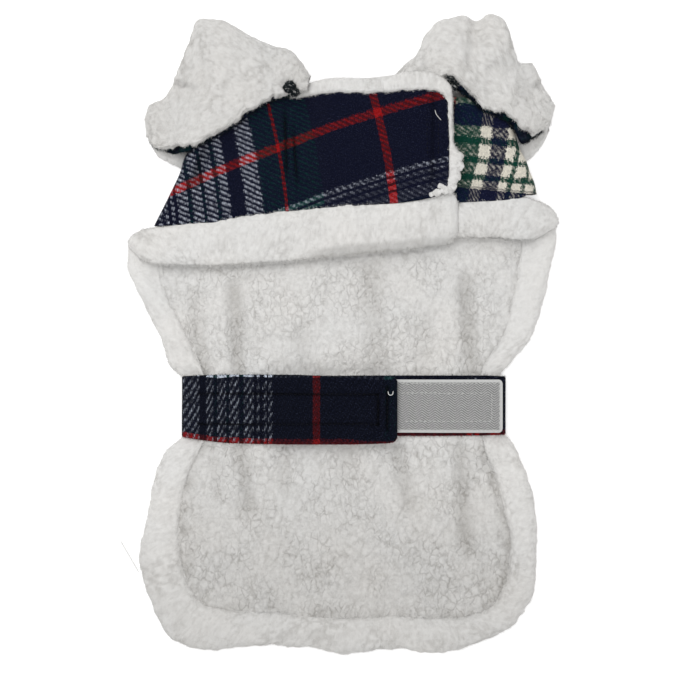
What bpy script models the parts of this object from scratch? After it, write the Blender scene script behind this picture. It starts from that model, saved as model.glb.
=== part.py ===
"""Dog winter coat, laid on its back on a flat surface.

The plaid shell lies face down, the sherpa lining faces up. Two chest flaps fold over from the sides and
close on top of each other, the collar is turned down on both faces, and a belly belt wraps the waist.
X runs across the coat, +Y towards the neck, +Z up. Every size below is in millimetres; the meshes are in
metres. The origin is the middle of the coat's outline, on the surface that it lies on.
"""

from collections import namedtuple

import bmesh
import bpy
import numpy as np

MM = 0.001

# Cloth
GAP = 0.3               # between pieces that are sewn or lie on each other
CLOTH = 1.8             # plaid shell
UNDER_COLLAR = 1.5      # plaid face of the turned-down collar
PILE = 5.0              # sherpa lining where it lies free
CHEST_SQUEEZE = 0.8     # how much the folded-over flaps flatten the lining
BELT_SQUEEZE = 1.6      # how much the belt flattens the lining
FLAP_PILE = 3.8         # sherpa lining inside the flaps
COLLAR_PILE = 6.5       # sherpa of the turned-down collar
STRAP = 2.6             # belt strap, two layers of plaid
TAPE = 1.2              # hook or loop tape

# Rolls and folds
BODY_ROLL = 11.0        # height of the border round the body
CORNER_ROLL = 6.2       # the same border where the chest corner is folded over it
WAIST_ROLL = 5.2        # the same border inside the belt
FLAP_ROLL = 9.0         # height of the flaps' lower border
FOLD_REACH = 6.3        # from a side fold's outline to the middle of its half-round
FOLD_SEAM = 18.0        # from a side fold's outline to the seam under the body
BODY_SEAM = 0.6         # from the border to the panels it is sewn to
FLAP_SEAM = 1.2         # from a flap's border to the flap's shell and lining
UNDER_SEAM = 1.5        # from a flap's shell to the back's shell under the body, beyond the stated seam
LINING_IN_FOLD = 3.0    # how far the back's lining stays inside the middle of the half-round
NECK_SEAM = 2.0         # from the neckline to the back's shell and lining
NECK_CORNER = 7.0       # how far the back's neck corners are cut in
STRAP_TAIL = 34.0       # how far a strap runs in under the body
COLLAR_LIFT = COLLAR_PILE + GAP
TAIL_LIFT = STRAP + GAP
SLACK = 0.1             # more room between layers that curve
COLLAR_SLACK = 0.45     # the same under the collar's front falls

# Stretches over which the cloth climbs from one layer to the next: start, end
COLLAR_CLIMB = (62.0, 3.0)          # before the back collar's free edge
STRAP_CLIMB = (42.0, 71.0)          # from the middle towards the strap tails
BELT_TOP_CLIMB = (-10.0, -25.0)
BELT_LOW_CLIMB = (-94.0, -79.0)
CHEST_CLIMB = (40.0, 62.0)          # the lining goes flatter under the flaps
FLAP_CLIMB = (-30.0, -5.0)          # the left flap climbs onto the right one
LEFT_STRAP_CLIMB = (-62.0, -33.0)   # the left strap climbs onto the right one
NECK_CLIMB = (0.5, 4.5)             # the collar doubles north of the neckline
FALL_CLIMB = (8.0, 4.0)             # a front fall drops north of its flap's neck edge
FALL_DROP = (1.0, 14.0)             # and outside its flap's fold
FALL_DROOP = (2.0, 30.0)            # its upper face droops outside the fold
EARLY_CLIMB = 12.0                  # the front falls clear the neckline's step from this far before it

# Rounded ends and edges
ROLL_END_HIGH = 0.35    # a roll's height at its very end, as a share
ROLL_END_WIDE = 0.74    # its width there
BODY_ROLL_END = 6.0     # length of a rounded end
FLAP_ROLL_END = 7.0
EDGE_HIGH = 0.2         # height left at a rounded edge, as a share
FREE_ROUND = 4.0        # radius at a collar's free edge and ends
FOLD_ROUND = 9.0        # radius at a front fall's turned-over fold
BACK_FOLD_ROUND = 6.0
UNDERSIDE_ROUND = 3.0
FALL_BELLY = 0.35       # share of a front fall's height where its edge meets

# Divisions
SHARP_ANGLE = 0.9       # radians
SEAM_STEPS = 3
BODY_ROLL_STEPS = 2
FLAP_ROLL_STEPS = 3
FLAP_COLUMNS = 16
FLAP_ROWS = 7
WRAP_POINTS = 7
STRAP_POINTS = 20
ROW_BEND = 10           # how fast the hem's and the neckline's curves die away in the rows beside them
FOLD_SIDE_SHARES = np.array([[0.0, 0.06, 0.2, 0.45, 0.75, 1.0]])    # rows of a collar fall on its fold's side
FREE_SIDE_SHARES = np.array([[0.0, 0.3, 0.62, 0.85, 0.95, 1.0]])    # and on its free edge's side
CROSSING_LIMITS = (0.14, 0.80)      # where along a section its crossing rows may lie
LEAST_FOLD_SIDE = 0.4               # of the way to the crossing
LEAST_ROW = 0.04                    # between the two rows, as a share of the section
TRIAL_POINTS = 101

# The border round the body, one row a section, from the left chest corner round the hem to the right one
Trim = namedtuple("Trim", "x_out y_out x_in y_in high")
BODY_BORDER = [
    Trim(-145.0, 72.5, -124.0, 60.0, CORNER_ROLL),
    Trim(-151.4, 61.5, -126.5, 52.0, CORNER_ROLL),
    Trim(-151.9, 50.0, -126.0, 42.0, CORNER_ROLL),
    Trim(-146.0, 33.0, -124.0, 30.5, 9.5),
    Trim(-136.0, 13.5, -115.5, 13.5, BODY_ROLL),
    Trim(-128.0, -4.0, -107.0, -3.0, BODY_ROLL),
    Trim(-119.5, -20.0, -100.0, -18.0, 8.5),
    Trim(-109.4, -27.2, -96.0, -27.0, WAIST_ROLL),
    Trim(-109.4, -34.0, -96.0, -34.0, WAIST_ROLL),
    Trim(-109.4, -65.0, -96.0, -65.0, WAIST_ROLL),
    Trim(-109.4, -75.5, -96.0, -75.5, WAIST_ROLL),
    Trim(-121.0, -82.5, -100.0, -82.0, 8.5),
    Trim(-132.5, -100.0, -109.0, -100.0, BODY_ROLL),
    Trim(-138.5, -129.0, -114.0, -129.0, BODY_ROLL),
    Trim(-143.0, -154.5, -114.0, -151.5, BODY_ROLL),
    Trim(-136.5, -182.5, -107.0, -176.0, BODY_ROLL),
    Trim(-118.5, -211.0, -95.0, -188.5, BODY_ROLL),
    Trim(-96.5, -221.5, -72.0, -193.0, BODY_ROLL),
    Trim(-66.0, -220.5, -47.5, -194.0, BODY_ROLL),
    Trim(-32.0, -219.0, -16.0, -197.0, 10.0),
    Trim(1.5, -224.2, 8.5, -197.5, BODY_ROLL),
    Trim(34.0, -220.5, 38.0, -196.0, 10.0),
    Trim(60.0, -224.2, 61.0, -197.5, BODY_ROLL),
    Trim(88.0, -220.5, 82.0, -197.5, BODY_ROLL),
    Trim(114.0, -210.5, 100.0, -193.0, BODY_ROLL),
    Trim(130.5, -192.0, 111.5, -180.0, BODY_ROLL),
    Trim(136.5, -167.0, 116.0, -164.0, BODY_ROLL),
    Trim(136.5, -143.0, 117.0, -143.0, BODY_ROLL),
    Trim(135.0, -119.0, 111.5, -119.5, BODY_ROLL),
    Trim(130.0, -98.5, 106.5, -98.5, BODY_ROLL),
    Trim(120.5, -80.0, 99.0, -80.0, 8.5),
    Trim(110.4, -71.8, 97.0, -71.8, WAIST_ROLL),
    Trim(110.4, -65.0, 97.0, -65.0, WAIST_ROLL),
    Trim(110.4, -34.0, 97.0, -34.0, WAIST_ROLL),
    Trim(110.4, -27.2, 97.0, -27.0, WAIST_ROLL),
    Trim(119.0, -20.0, 101.0, -18.0, 8.5),
    Trim(133.0, 1.0, 110.5, -0.5, BODY_ROLL),
    Trim(141.5, 26.0, 117.5, 23.5, BODY_ROLL),
    Trim(146.3, 51.0, 122.5, 48.0, 9.5),
    Trim(150.5, 69.0, 125.5, 63.0, CORNER_ROLL),
    Trim(150.5, 84.0, 122.0, 76.0, CORNER_ROLL),
]
HEM_LEFT_CORNER = 16    # rows of the table where the body's side turns into the hem
HEM_RIGHT_CORNER = 24
LEFT_CHEST_START = 80.0     # the back's sides follow the folds above these heights
RIGHT_CHEST_START = 96.0
NECK_CORNER_Y = 158.0

# The border along each flap's lower edge, from the folded corner inwards: x_out, y_out is its upper edge
LEFT_FLAP_BORDER = [
    Trim(-153.5, 66.0, -139.0, 50.0, FLAP_ROLL),
    Trim(-139.5, 74.5, -119.0, 48.5, FLAP_ROLL),
    Trim(-94.5, 80.0, -89.5, 48.5, FLAP_ROLL),
    Trim(-41.5, 87.5, -44.0, 51.0, FLAP_ROLL),
    Trim(-2.0, 90.5, 1.5, 55.5, FLAP_ROLL),
    Trim(37.0, 93.0, 40.0, 59.0, FLAP_ROLL),
    Trim(64.0, 97.5, 67.0, 62.0, FLAP_ROLL),
    Trim(78.5, 101.0, 80.0, 65.0, FLAP_ROLL),
]
RIGHT_FLAP_BORDER = [
    Trim(155.1, 79.5, 131.0, 65.0, 8.0),
    Trim(142.0, 92.0, 120.0, 66.0, 8.0),
    Trim(122.0, 97.0, 110.0, 67.0, 8.0),
    Trim(101.0, 95.0, 99.5, 67.5, 8.0),
    Trim(76.5, 94.0, 77.5, 67.5, 7.6),
    Trim(40.0, 89.0, 40.0, 64.0, 7.2),
    Trim(-2.0, 84.0, -2.0, 60.0, 7.2),
]

# A roll's outline: across from its inner edge (0) to its outer edge (1), up from the cloth (0) to its top (1)
Outline = namedtuple("Outline", "across up")
ROLL = [
    Outline(0.00, 0.30), Outline(0.03, 0.62), Outline(0.15, 0.86), Outline(0.34, 0.98), Outline(0.55, 1.00),
    Outline(0.76, 0.90), Outline(0.92, 0.68), Outline(1.00, 0.38), Outline(0.97, 0.12), Outline(0.88, 0.00),
    Outline(0.12, 0.00), Outline(0.02, 0.08),
]

# Side folds of the flaps, and the back's own edges above the border: shell ends under the fold
Point = namedtuple("Point", "x y")
LEFT_FOLD = [
    Point(-131.5, 79.5), Point(-121.0, 98.5), Point(-113.5, 114.5), Point(-111.5, 122.0),
    Point(-107.0, 130.0), Point(-100.0, 140.5), Point(-89.5, 154.5), Point(-82.0, 162.0),
]
RIGHT_FOLD = [
    Point(135.5, 98.5), Point(134.0, 105.5), Point(130.5, 114.5), Point(128.0, 121.5), Point(123.5, 130.0),
    Point(120.5, 139.5), Point(117.0, 154.5), Point(114.0, 162.0),
]
NECKLINE = [            # where the back ends and the collar starts
    Point(-150.0, 194.0), Point(-110.0, 184.0), Point(-79.0, 171.0), Point(-58.0, 163.0), Point(-37.0, 157.5),
    Point(0.0, 153.5), Point(61.0, 158.5), Point(98.0, 168.0), Point(114.0, 174.0), Point(135.0, 185.0),
    Point(150.0, 194.0),
]
LEFT_FLAP_NECK = [
    Point(-82.0, 162.0), Point(-51.0, 166.5), Point(-22.5, 170.0), Point(-4.0, 171.0), Point(16.0, 170.5),
    Point(41.5, 172.0), Point(57.5, 173.0), Point(67.5, 171.0), Point(72.5, 165.0),
]
LEFT_FLAP_END = [Point(73.0, 102.5), Point(73.6, 130.0), Point(72.5, 165.0)]
RIGHT_FLAP_NECK = [
    Point(114.0, 162.0), Point(96.0, 166.0), Point(76.5, 166.0), Point(40.0, 162.0), Point(-4.0, 158.0),
]
RIGHT_FLAP_END = [Point(-4.0, 86.0), Point(-5.0, 120.0), Point(-4.0, 158.0)]

# Sherpa that stands out past the left flap's shell: how far out, and how far above its own top
Lip = namedtuple("Lip", "out up")
FLAP_LIP = [Lip(0.4, 0.0), Lip(0.7, 2.4), Lip(3.6, 2.2), Lip(5.0, -1.0)]
NECK_LIP_SCALE = 1.7    # the strip along the neck is this much wider than the one along the end
NECK_LIP_LEAST = 0.3    # its width under the left collar
NECK_LIP_START = (-27.0, -17.0)     # it comes out from under the left collar between these

# Collar falls, one row a section: the turned-over fold and the free edge
Fall = namedtuple("Fall", "x_fold y_fold x_free y_free")
LEFT_COLLAR = [
    Fall(-147.5, 150.0, -146.0, 138.0), Fall(-134.5, 161.5, -133.5, 130.5),
    Fall(-123.0, 167.5, -119.5, 130.0),
    Fall(-116.0, 181.5, -107.0, 130.5), Fall(-109.0, 203.0, -96.0, 135.5), Fall(-99.5, 217.5, -84.5, 141.0),
    Fall(-84.5, 219.0, -73.5, 148.0), Fall(-66.5, 210.5, -62.5, 156.0), Fall(-49.5, 202.5, -50.0, 163.5),
    Fall(-38.0, 199.5, -42.0, 168.5), Fall(-29.0, 191.0, -35.5, 172.0), Fall(-23.5, 180.0, -30.0, 171.0),
]
RIGHT_COLLAR = [
    Fall(38.0, 185.5, 41.0, 182.5), Fall(43.5, 191.5, 52.5, 186.5), Fall(51.5, 198.0, 63.5, 186.0),
    Fall(57.0, 209.5, 73.5, 181.5), Fall(68.0, 217.5, 82.0, 174.5), Fall(84.5, 223.0, 90.0, 165.0),
    Fall(92.5, 219.5, 95.5, 158.5), Fall(101.5, 224.2, 102.0, 155.5), Fall(111.0, 220.5, 109.0, 154.0),
    Fall(118.5, 205.5, 115.5, 151.0), Fall(123.5, 194.5, 121.0, 145.5), Fall(132.0, 190.5, 127.0, 141.5),
    Fall(141.0, 178.5, 133.0, 139.5), Fall(148.5, 161.0, 145.0, 147.0),
]
BACK_COLLAR = [
    Fall(-141.0, 150.0, -139.5, 136.0), Fall(-131.0, 160.5, -129.5, 125.0),
    Fall(-121.0, 167.0, -119.5, 119.5),
    Fall(-109.0, 191.5, -107.0, 115.0), Fall(-97.5, 211.0, -91.5, 111.5), Fall(-83.0, 214.5, -72.0, 108.0),
    Fall(-65.0, 206.5, -56.0, 105.5), Fall(-49.0, 199.0, -42.0, 104.0), Fall(-36.0, 191.0, -30.0, 103.0),
    Fall(-22.0, 175.0, -17.0, 102.0), Fall(-5.0, 166.5, -4.0, 102.0), Fall(14.0, 165.5, 12.0, 102.5),
    Fall(32.0, 171.0, 30.0, 103.5), Fall(47.0, 186.0, 45.0, 105.0), Fall(60.0, 205.0, 60.0, 106.5),
    Fall(78.0, 216.5, 80.0, 108.5), Fall(101.0, 219.0, 102.0, 112.0), Fall(115.0, 202.0, 117.0, 115.5),
    Fall(128.0, 188.0, 131.0, 123.0), Fall(140.0, 172.0, 140.5, 133.0), Fall(146.5, 156.0, 145.5, 144.0),
]

UNDER_COLLAR_ROWS = {"left": (1, 7), "right": (7, 12)}      # rows of the falls that the plaid face reaches

# Long soft folds that the belt gathers in the lining: a trough from its top end to its bottom end
Fold = namedtuple("Fold", "x_top y_top x_low y_low half_width depth")
LINING_FOLDS = [
    Fold(-76.0, 22.0, -72.0, -20.0, 8.0, 2.2),
    Fold(18.0, 42.0, 25.0, -20.0, 9.0, 1.2),
    Fold(86.0, 26.0, 91.0, -20.0, 8.0, 2.2),
    Fold(-72.0, -80.0, -66.0, -116.0, 8.0, 2.0),
    Fold(-42.0, -80.0, -42.0, -103.0, 7.0, 1.2),
    Fold(36.0, -80.0, 45.0, -114.0, 8.0, 1.8),
    Fold(80.0, -80.0, 85.0, -142.0, 8.0, 2.0),
]
FOLD_FADE = 16.0        # length over which a fold dies away at its ends

# The back's rows: closer where the belt or the collar lifts the cloth
BACK_ROWS = [
    -183.0, -168.0, -148.0, -126.0, -108.0, -96.0, -88.0, -81.5, -75.5, -56.0, -34.0, -26.5, -20.0, -12.0,
    2.0, 18.0, 34.0, 48.0, 60.0, 72.0, 84.0, 96.0, 108.0, 120.0, 134.0, 147.0,
]
BACK_COLUMNS = 21

# Belt straps: one row a section, with the strap's two edges
Strap = namedtuple("Strap", "x y_high y_low")
LEFT_STRAP = [
    Strap(-113.2, -28.6, -71.0), Strap(-96.0, -27.7, -73.6), Strap(-78.0, -27.4, -75.4),
    Strap(-40.0, -27.4, -76.2), Strap(0.0, -28.4, -76.2), Strap(30.0, -28.0, -75.4),
    Strap(36.0, -29.0, -74.4), Strap(38.0, -32.0, -71.5),
]
RIGHT_STRAP = [
    Strap(114.2, -28.6, -69.4), Strap(96.0, -28.0, -70.0), Strap(40.0, -28.0, -70.4),
    Strap(-24.0, -28.6, -70.6), Strap(-29.0, -30.0, -69.6), Strap(-31.0, -33.0, -66.6),
]
BELT_MIDDLE = -50.0

# Hook and loop tapes
Tape = namedtuple("Tape", "x_left x_right y_low y_high columns")
BELT_HOOK_TAPE = Tape(-23.0, 111.6, -68.0, -30.8, 16)   # on the right strap
BELT_LOOP_TAPE = Tape(-21.0, 33.0, -68.0, -33.0, 9)     # under the left strap
CHEST_LOOP_TAPE = Tape(4.0, 64.0, 106.0, 146.0, 9)      # on the right flap
CHEST_HOOK_TAPE = Tape(6.0, 62.0, 108.0, 144.0, 9)      # under the left flap
TAPE_ROWS = 4
TAPE_CORNER = 3.0       # radius of a tape's corners


def clear_scene():
    for old in list(bpy.data.objects):
        bpy.data.objects.remove(old, do_unlink=True)


def cloth_material(name, color, roughness):
    material = bpy.data.materials.new(name)
    material.use_nodes = True
    shader = material.node_tree.nodes["Principled BSDF"]
    shader.inputs["Base Color"].default_value = (*color, 1.0)
    shader.inputs["Roughness"].default_value = roughness
    shader.inputs["Metallic"].default_value = 0.0
    return material


# ---------------------------------------------------------------- curves and fields

def ease(start, end, value):
    """0 before start, 1 after end, smooth between; start may be the larger."""
    t = np.clip((value - start) / (end - start), 0.0, 1.0)
    return t * t * (3.0 - 2.0 * t)


def curve(at, knots, values):
    """Cubic curve through the values, with no overshoot between them."""
    at = np.asarray(at, dtype=float)
    knots = np.asarray(knots, dtype=float)
    values = np.asarray(values, dtype=float)
    width = np.diff(knots)
    slope = np.diff(values) / width
    tangent = np.zeros(len(knots))
    tangent[0], tangent[-1] = slope[0], slope[-1]
    product = slope[:-1] * slope[1:]
    total = slope[:-1] + slope[1:]
    tangent[1:-1] = np.where(product > 0, 2.0 * product / np.where(total == 0, 1.0, total), 0.0)
    cell = np.clip(np.searchsorted(knots, at, side="right") - 1, 0, len(width) - 1)
    t = np.clip((at - knots[cell]) / width[cell], 0.0, 1.0)
    rise = values[cell + 1] - values[cell]
    first = tangent[cell] * width[cell]
    last = tangent[cell + 1] * width[cell]
    return values[cell] + first * t + (3 * rise - 2 * first - last) * t**2 + (first + last - 2 * rise) * t**3


def line_height(points, x):
    """y of a line of points, at x."""
    rows = np.array(sorted(points))
    return curve(x, rows[:, 0], rows[:, 1])


def line_reach(points, y):
    """x of a line of points, at y."""
    rows = np.array(sorted(points, key=lambda point: point[1]))
    return curve(y, rows[:, 1], rows[:, 0])


def travel(rows, share):
    """All columns of a table, at shares (0 to 1) of its length."""
    table = np.array(rows, dtype=float)
    if table.shape[1] >= 4:
        middle = (table[:, 0:2] + table[:, 2:4]) / 2.0
    else:
        middle = table[:, 0:2]
    length = np.concatenate([[0.0], np.cumsum(np.hypot(*np.diff(middle, axis=0).T))])
    at = np.asarray(share) * length[-1]
    return np.stack([curve(at, length, column) for column in table.T], axis=-1), length[-1]


def row_shares(rows, steps):
    """Shares of a table's length that hold every row and split the stretch between two rows evenly."""
    table = np.array(rows, dtype=float)
    middle = (table[:, 0:2] + table[:, 2:4]) / 2.0
    length = np.concatenate([[0.0], np.cumsum(np.hypot(*np.diff(middle, axis=0).T))])
    where = np.linspace(0.0, len(rows) - 1.0, (len(rows) - 1) * steps + 1)
    return np.interp(where, np.arange(len(rows)), length) / length[-1]


COLLAR_FREE = [Point(row.x_free, row.y_free) for row in BACK_COLLAR]


def collar_lift(x, y):
    """How far the back collar, lying under the body, lifts the shell."""
    edge = line_height(COLLAR_FREE, x)
    return COLLAR_LIFT * ease(edge - COLLAR_CLIMB[0], edge - COLLAR_CLIMB[1], y)


def belt_zone(y):
    """1 across the belt's width, 0 well away from it."""
    return ease(*BELT_TOP_CLIMB, y) * ease(*BELT_LOW_CLIMB, y)


def ground(x, y):
    """Height of the shell's underside: the floor, but for the collar and the strap tails under it."""
    tails = TAIL_LIFT * belt_zone(y) * ease(*STRAP_CLIMB, np.abs(x))
    return collar_lift(x, y) + tails


def fold_depth(x, y):
    depth = np.zeros(np.broadcast(x, y).shape)
    for fold in LINING_FOLDS:
        down = (fold.y_top - y) / (fold.y_top - fold.y_low)
        middle = fold.x_top + (fold.x_low - fold.x_top) * down
        inside = ease(fold.y_top + FOLD_FADE, fold.y_top, y) * ease(fold.y_low - FOLD_FADE, fold.y_low, y)
        depth = depth + fold.depth * inside * np.exp(-((x - middle) / fold.half_width) ** 2)
    return depth


def lining_bottom(x, y):
    return ground(x, y) + CLOTH + GAP


def lining_plain_top(x, y):
    squeeze = BELT_SQUEEZE * belt_zone(y) + CHEST_SQUEEZE * ease(*CHEST_CLIMB, y)
    return lining_bottom(x, y) + PILE - squeeze


def flap_floor(x, y):
    """Underside of whatever lies on the back's lining at the chest."""
    return lining_plain_top(x, y) + GAP + SLACK


RIGHT_SHELL_TOP = FLAP_PILE + GAP + CLOTH
LEFT_RISE = RIGHT_SHELL_TOP + 3 * GAP + 2 * TAPE
FALL_CROWN = COLLAR_LIFT + CLOTH + GAP + PILE - CHEST_SQUEEZE + RIGHT_SHELL_TOP + 3 * GAP + UNDER_COLLAR


def left_floor(x, y):
    """Underside of the left flap, which climbs onto the right flap's end."""
    return flap_floor(x, y) + LEFT_RISE * ease(*FLAP_CLIMB, x)


# ---------------------------------------------------------------- mesh builders

def add_object(name, verts, faces, material):
    mesh = bpy.data.meshes.new(name)
    built = bmesh.new()
    made = [built.verts.new(point) for point in np.asarray(verts) * MM]
    for face in faces:
        built.faces.new([made[index] for index in face])
    bmesh.ops.recalc_face_normals(built, faces=built.faces)
    built.to_mesh(mesh)
    built.free()
    mesh.shade_smooth()
    mesh.set_sharp_from_angle(angle=SHARP_ANGLE)
    piece = bpy.data.objects.new(name, mesh)
    piece.data.materials.append(material)
    bpy.context.scene.collection.objects.link(piece)
    return piece


def grid_faces(rows, columns, first=0):
    corner = first + np.arange(rows - 1)[:, None] * columns + np.arange(columns - 1)[None, :]
    corner = corner.ravel()
    return np.stack([corner, corner + 1, corner + columns + 1, corner + columns], axis=1).tolist()


def grid_rim(rows, columns):
    """Indices round a grid, once."""
    index = np.arange(rows * columns).reshape(rows, columns)
    return np.concatenate([index[0, :-1], index[:-1, -1], index[-1, :0:-1], index[:0:-1, 0]])


def panel(name, x, y, bottom, top, material):
    """Closed wall between two height grids over the same points."""
    rows, columns = x.shape
    count = rows * columns
    verts = np.concatenate([
        np.stack([x, y, bottom], axis=-1).reshape(-1, 3),
        np.stack([x, y, top], axis=-1).reshape(-1, 3),
    ])
    faces = grid_faces(rows, columns) + grid_faces(rows, columns, count)
    rim = grid_rim(rows, columns)
    following = np.roll(rim, -1)
    faces += np.stack([rim, following, following + count, rim + count], axis=1).tolist()
    return add_object(name, verts, faces, material)


def sheet(name, x, y, z, thickness, material):
    """Cloth of even thickness about a middle surface, which may wrap round a fold."""
    rows, columns = x.shape
    verts = np.stack([x, y, z], axis=-1).reshape(-1, 3)
    piece = add_object(name, verts, grid_faces(rows, columns), material)
    wall = piece.modifiers.new("cloth", "SOLIDIFY")
    wall.thickness = thickness * MM
    wall.offset = 0.0
    return piece


def roll(name, rows, low, steps, round_end, material):
    """Puffed border: the roll outline carried along a table of sections, with rounded ends."""
    shares = row_shares(rows, steps)
    table, length = travel(rows, shares)
    x_out, y_out, x_in, y_in, high = (column[:, None] for column in table.T)
    from_end = np.minimum(shares, 1.0 - shares)[:, None] * length
    full = np.sqrt(1.0 - (1.0 - np.clip(from_end / round_end, 0.0, 1.0)) ** 2)
    size = ROLL_END_HIGH + (1.0 - ROLL_END_HIGH) * full
    across = np.array([point.across for point in ROLL])[None, :]
    up = np.array([point.up for point in ROLL])[None, :]
    across = 0.5 + (across - 0.5) * (ROLL_END_WIDE + (1.0 - ROLL_END_WIDE) * full)
    x = x_in + (x_out - x_in) * across
    y = y_in + (y_out - y_in) * across
    z = low(x, y) + high * size * up
    rings, points = x.shape
    verts = np.stack([x, y, z], axis=-1).reshape(-1, 3)
    faces = []
    for ring in range(rings - 1):
        for point in range(points):
            after = (point + 1) % points
            faces.append([ring * points + point, ring * points + after,
                          (ring + 1) * points + after, (ring + 1) * points + point])
    faces.append(list(range(points))[::-1])
    faces.append([(rings - 1) * points + point for point in range(points)])
    return add_object(name, verts, faces, material)


def patch(west, east, south, north, across, up):
    """Points between four edges. The south and north edges only bend the rows next to them."""
    u = across[None, :, None]
    v = up[:, None, None]
    between = west[:, None, :] * (1 - u) + east[:, None, :] * u
    south_bend = (south - (south[0] * (1 - across[:, None]) + south[-1] * across[:, None]))[None]
    north_bend = (north - (north[0] * (1 - across[:, None]) + north[-1] * across[:, None]))[None]
    return between + (1 - v) ** ROW_BEND * south_bend + v**ROW_BEND * north_bend


def edge_round(distance, radius):
    """EDGE_HIGH at an edge, 1 from one radius in, along a quarter circle."""
    quarter = np.sqrt(1.0 - (1.0 - np.clip(distance / radius, 0.0, 1.0)) ** 2)
    return EDGE_HIGH + (1.0 - EDGE_HIGH) * quarter


# ---------------------------------------------------------------- body

def seam_points(first, last):
    """Inner edge of the body border between two rows of its table, moved off it by the seam gap."""
    shares = row_shares(BODY_BORDER, SEAM_STEPS)[first * SEAM_STEPS:last * SEAM_STEPS + 1]
    table, _ = travel(BODY_BORDER, shares)
    inward = table[:, 2:4] - table[:, 0:2]
    return table[:, 2:4] + inward / np.linalg.norm(inward, axis=1)[:, None] * BODY_SEAM


def fold_edge(fold, offset, low):
    """Points along a side fold, from a height up, moved towards the coat's middle."""
    heights = np.array([point.y for point in fold if point.y > low])
    x = line_reach(fold, heights)
    return np.stack([x - np.sign(x) * offset, heights], axis=1)


def back_grid(fold_offset):
    """The back's points, rows from the hem to the neckline, its chest edges a given way inside the folds."""
    last = len(BODY_BORDER) - 1
    left = np.concatenate([seam_points(0, HEM_LEFT_CORNER)[::-1],
                           fold_edge(LEFT_FOLD, fold_offset, LEFT_CHEST_START)])
    right = np.concatenate([seam_points(HEM_RIGHT_CORNER, last),
                            fold_edge(RIGHT_FOLD, fold_offset, RIGHT_CHEST_START)])
    hem = seam_points(HEM_LEFT_CORNER, HEM_RIGHT_CORNER)
    left_y = np.array([hem[0, 1]] + BACK_ROWS + [NECK_CORNER_Y])
    right_y = np.array([hem[-1, 1]] + BACK_ROWS + [NECK_CORNER_Y])
    west = np.stack([curve(left_y, left[:, 1], left[:, 0]), left_y], axis=1)
    east = np.stack([curve(right_y, right[:, 1], right[:, 0]), right_y], axis=1)
    across = np.linspace(0.0, 1.0, BACK_COLUMNS)
    west[-1, 0] += NECK_CORNER
    east[-1, 0] -= NECK_CORNER
    neck_x = west[-1, 0] + (east[-1, 0] - west[-1, 0]) * across
    north = np.stack([neck_x, line_height(NECKLINE, neck_x) - NECK_SEAM], axis=1)
    west[-1], east[-1] = north[0], north[-1]
    hem_length = np.concatenate([[0.0], np.cumsum(np.hypot(*np.diff(hem, axis=0).T))])
    hem_at = across * hem_length[-1]
    south = np.stack([np.interp(hem_at, hem_length, column) for column in hem.T], axis=1)
    up = (left_y - left_y[0]) / (left_y[-1] - left_y[0])
    points = patch(west, east, south, north, across, up)
    points[0] = south
    return points[..., 0], points[..., 1]


def build_back(plaid, sherpa):
    x, y = back_grid(FOLD_SEAM + GAP)
    bottom = ground(x, y)
    panel("back_shell", x, y, bottom, bottom + CLOTH, plaid)
    wide_x, wide_y = back_grid(FOLD_REACH + LINING_IN_FOLD)
    lining_x, lining_y = x.copy(), y.copy()
    for side in (0, -1):
        lining_x[:, side] = wide_x[:, side]
        lining_y[:, side] = wide_y[:, side]
    top = lining_plain_top(lining_x, lining_y) - fold_depth(lining_x, lining_y)
    panel("back_lining", lining_x, lining_y, lining_bottom(lining_x, lining_y), top, sherpa)
    roll("border_body", BODY_BORDER, ground, BODY_ROLL_STEPS, BODY_ROLL_END, sherpa)


# ---------------------------------------------------------------- chest flaps

def flap_grid(fold, low, neck, end, across, up):
    """Points of a flap from its side fold (0) to its end (1), and from its lower edge (0) to its neck (1)."""
    low_edge, _ = travel(low, across)
    neck_edge, _ = travel(neck, across)
    fold_line, _ = travel(fold, up)
    end_line, _ = travel(end, up)
    u = across[None, :, None]
    v = up[:, None, None]
    ruled = low_edge[None] * (1 - v) + neck_edge[None] * v
    sides = fold_line[:, None] * (1 - u) + end_line[:, None] * u
    corners = ((fold_line[0] * (1 - u) + end_line[0] * u) * (1 - v)
               + (fold_line[-1] * (1 - u) + end_line[-1] * u) * v)
    points = ruled + sides - corners
    return points[..., 0], points[..., 1]


def flap_edges(fold, border, neck, end):
    """A flap's four edges, its fold moved in to the middle of the half-round."""
    side = np.sign(fold[0].x)
    crown = [Point(point.x - side * FOLD_REACH, point.y) for point in fold]
    between = [row for row in border if side * end[0].x + FLAP_SEAM < side * row.x_out < side * crown[0].x]
    low = [crown[0]] + [Point(row.x_out, row.y_out + FLAP_SEAM) for row in between] + [end[0]]
    return crown, low, [crown[-1]] + list(neck[1:]), end


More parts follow.
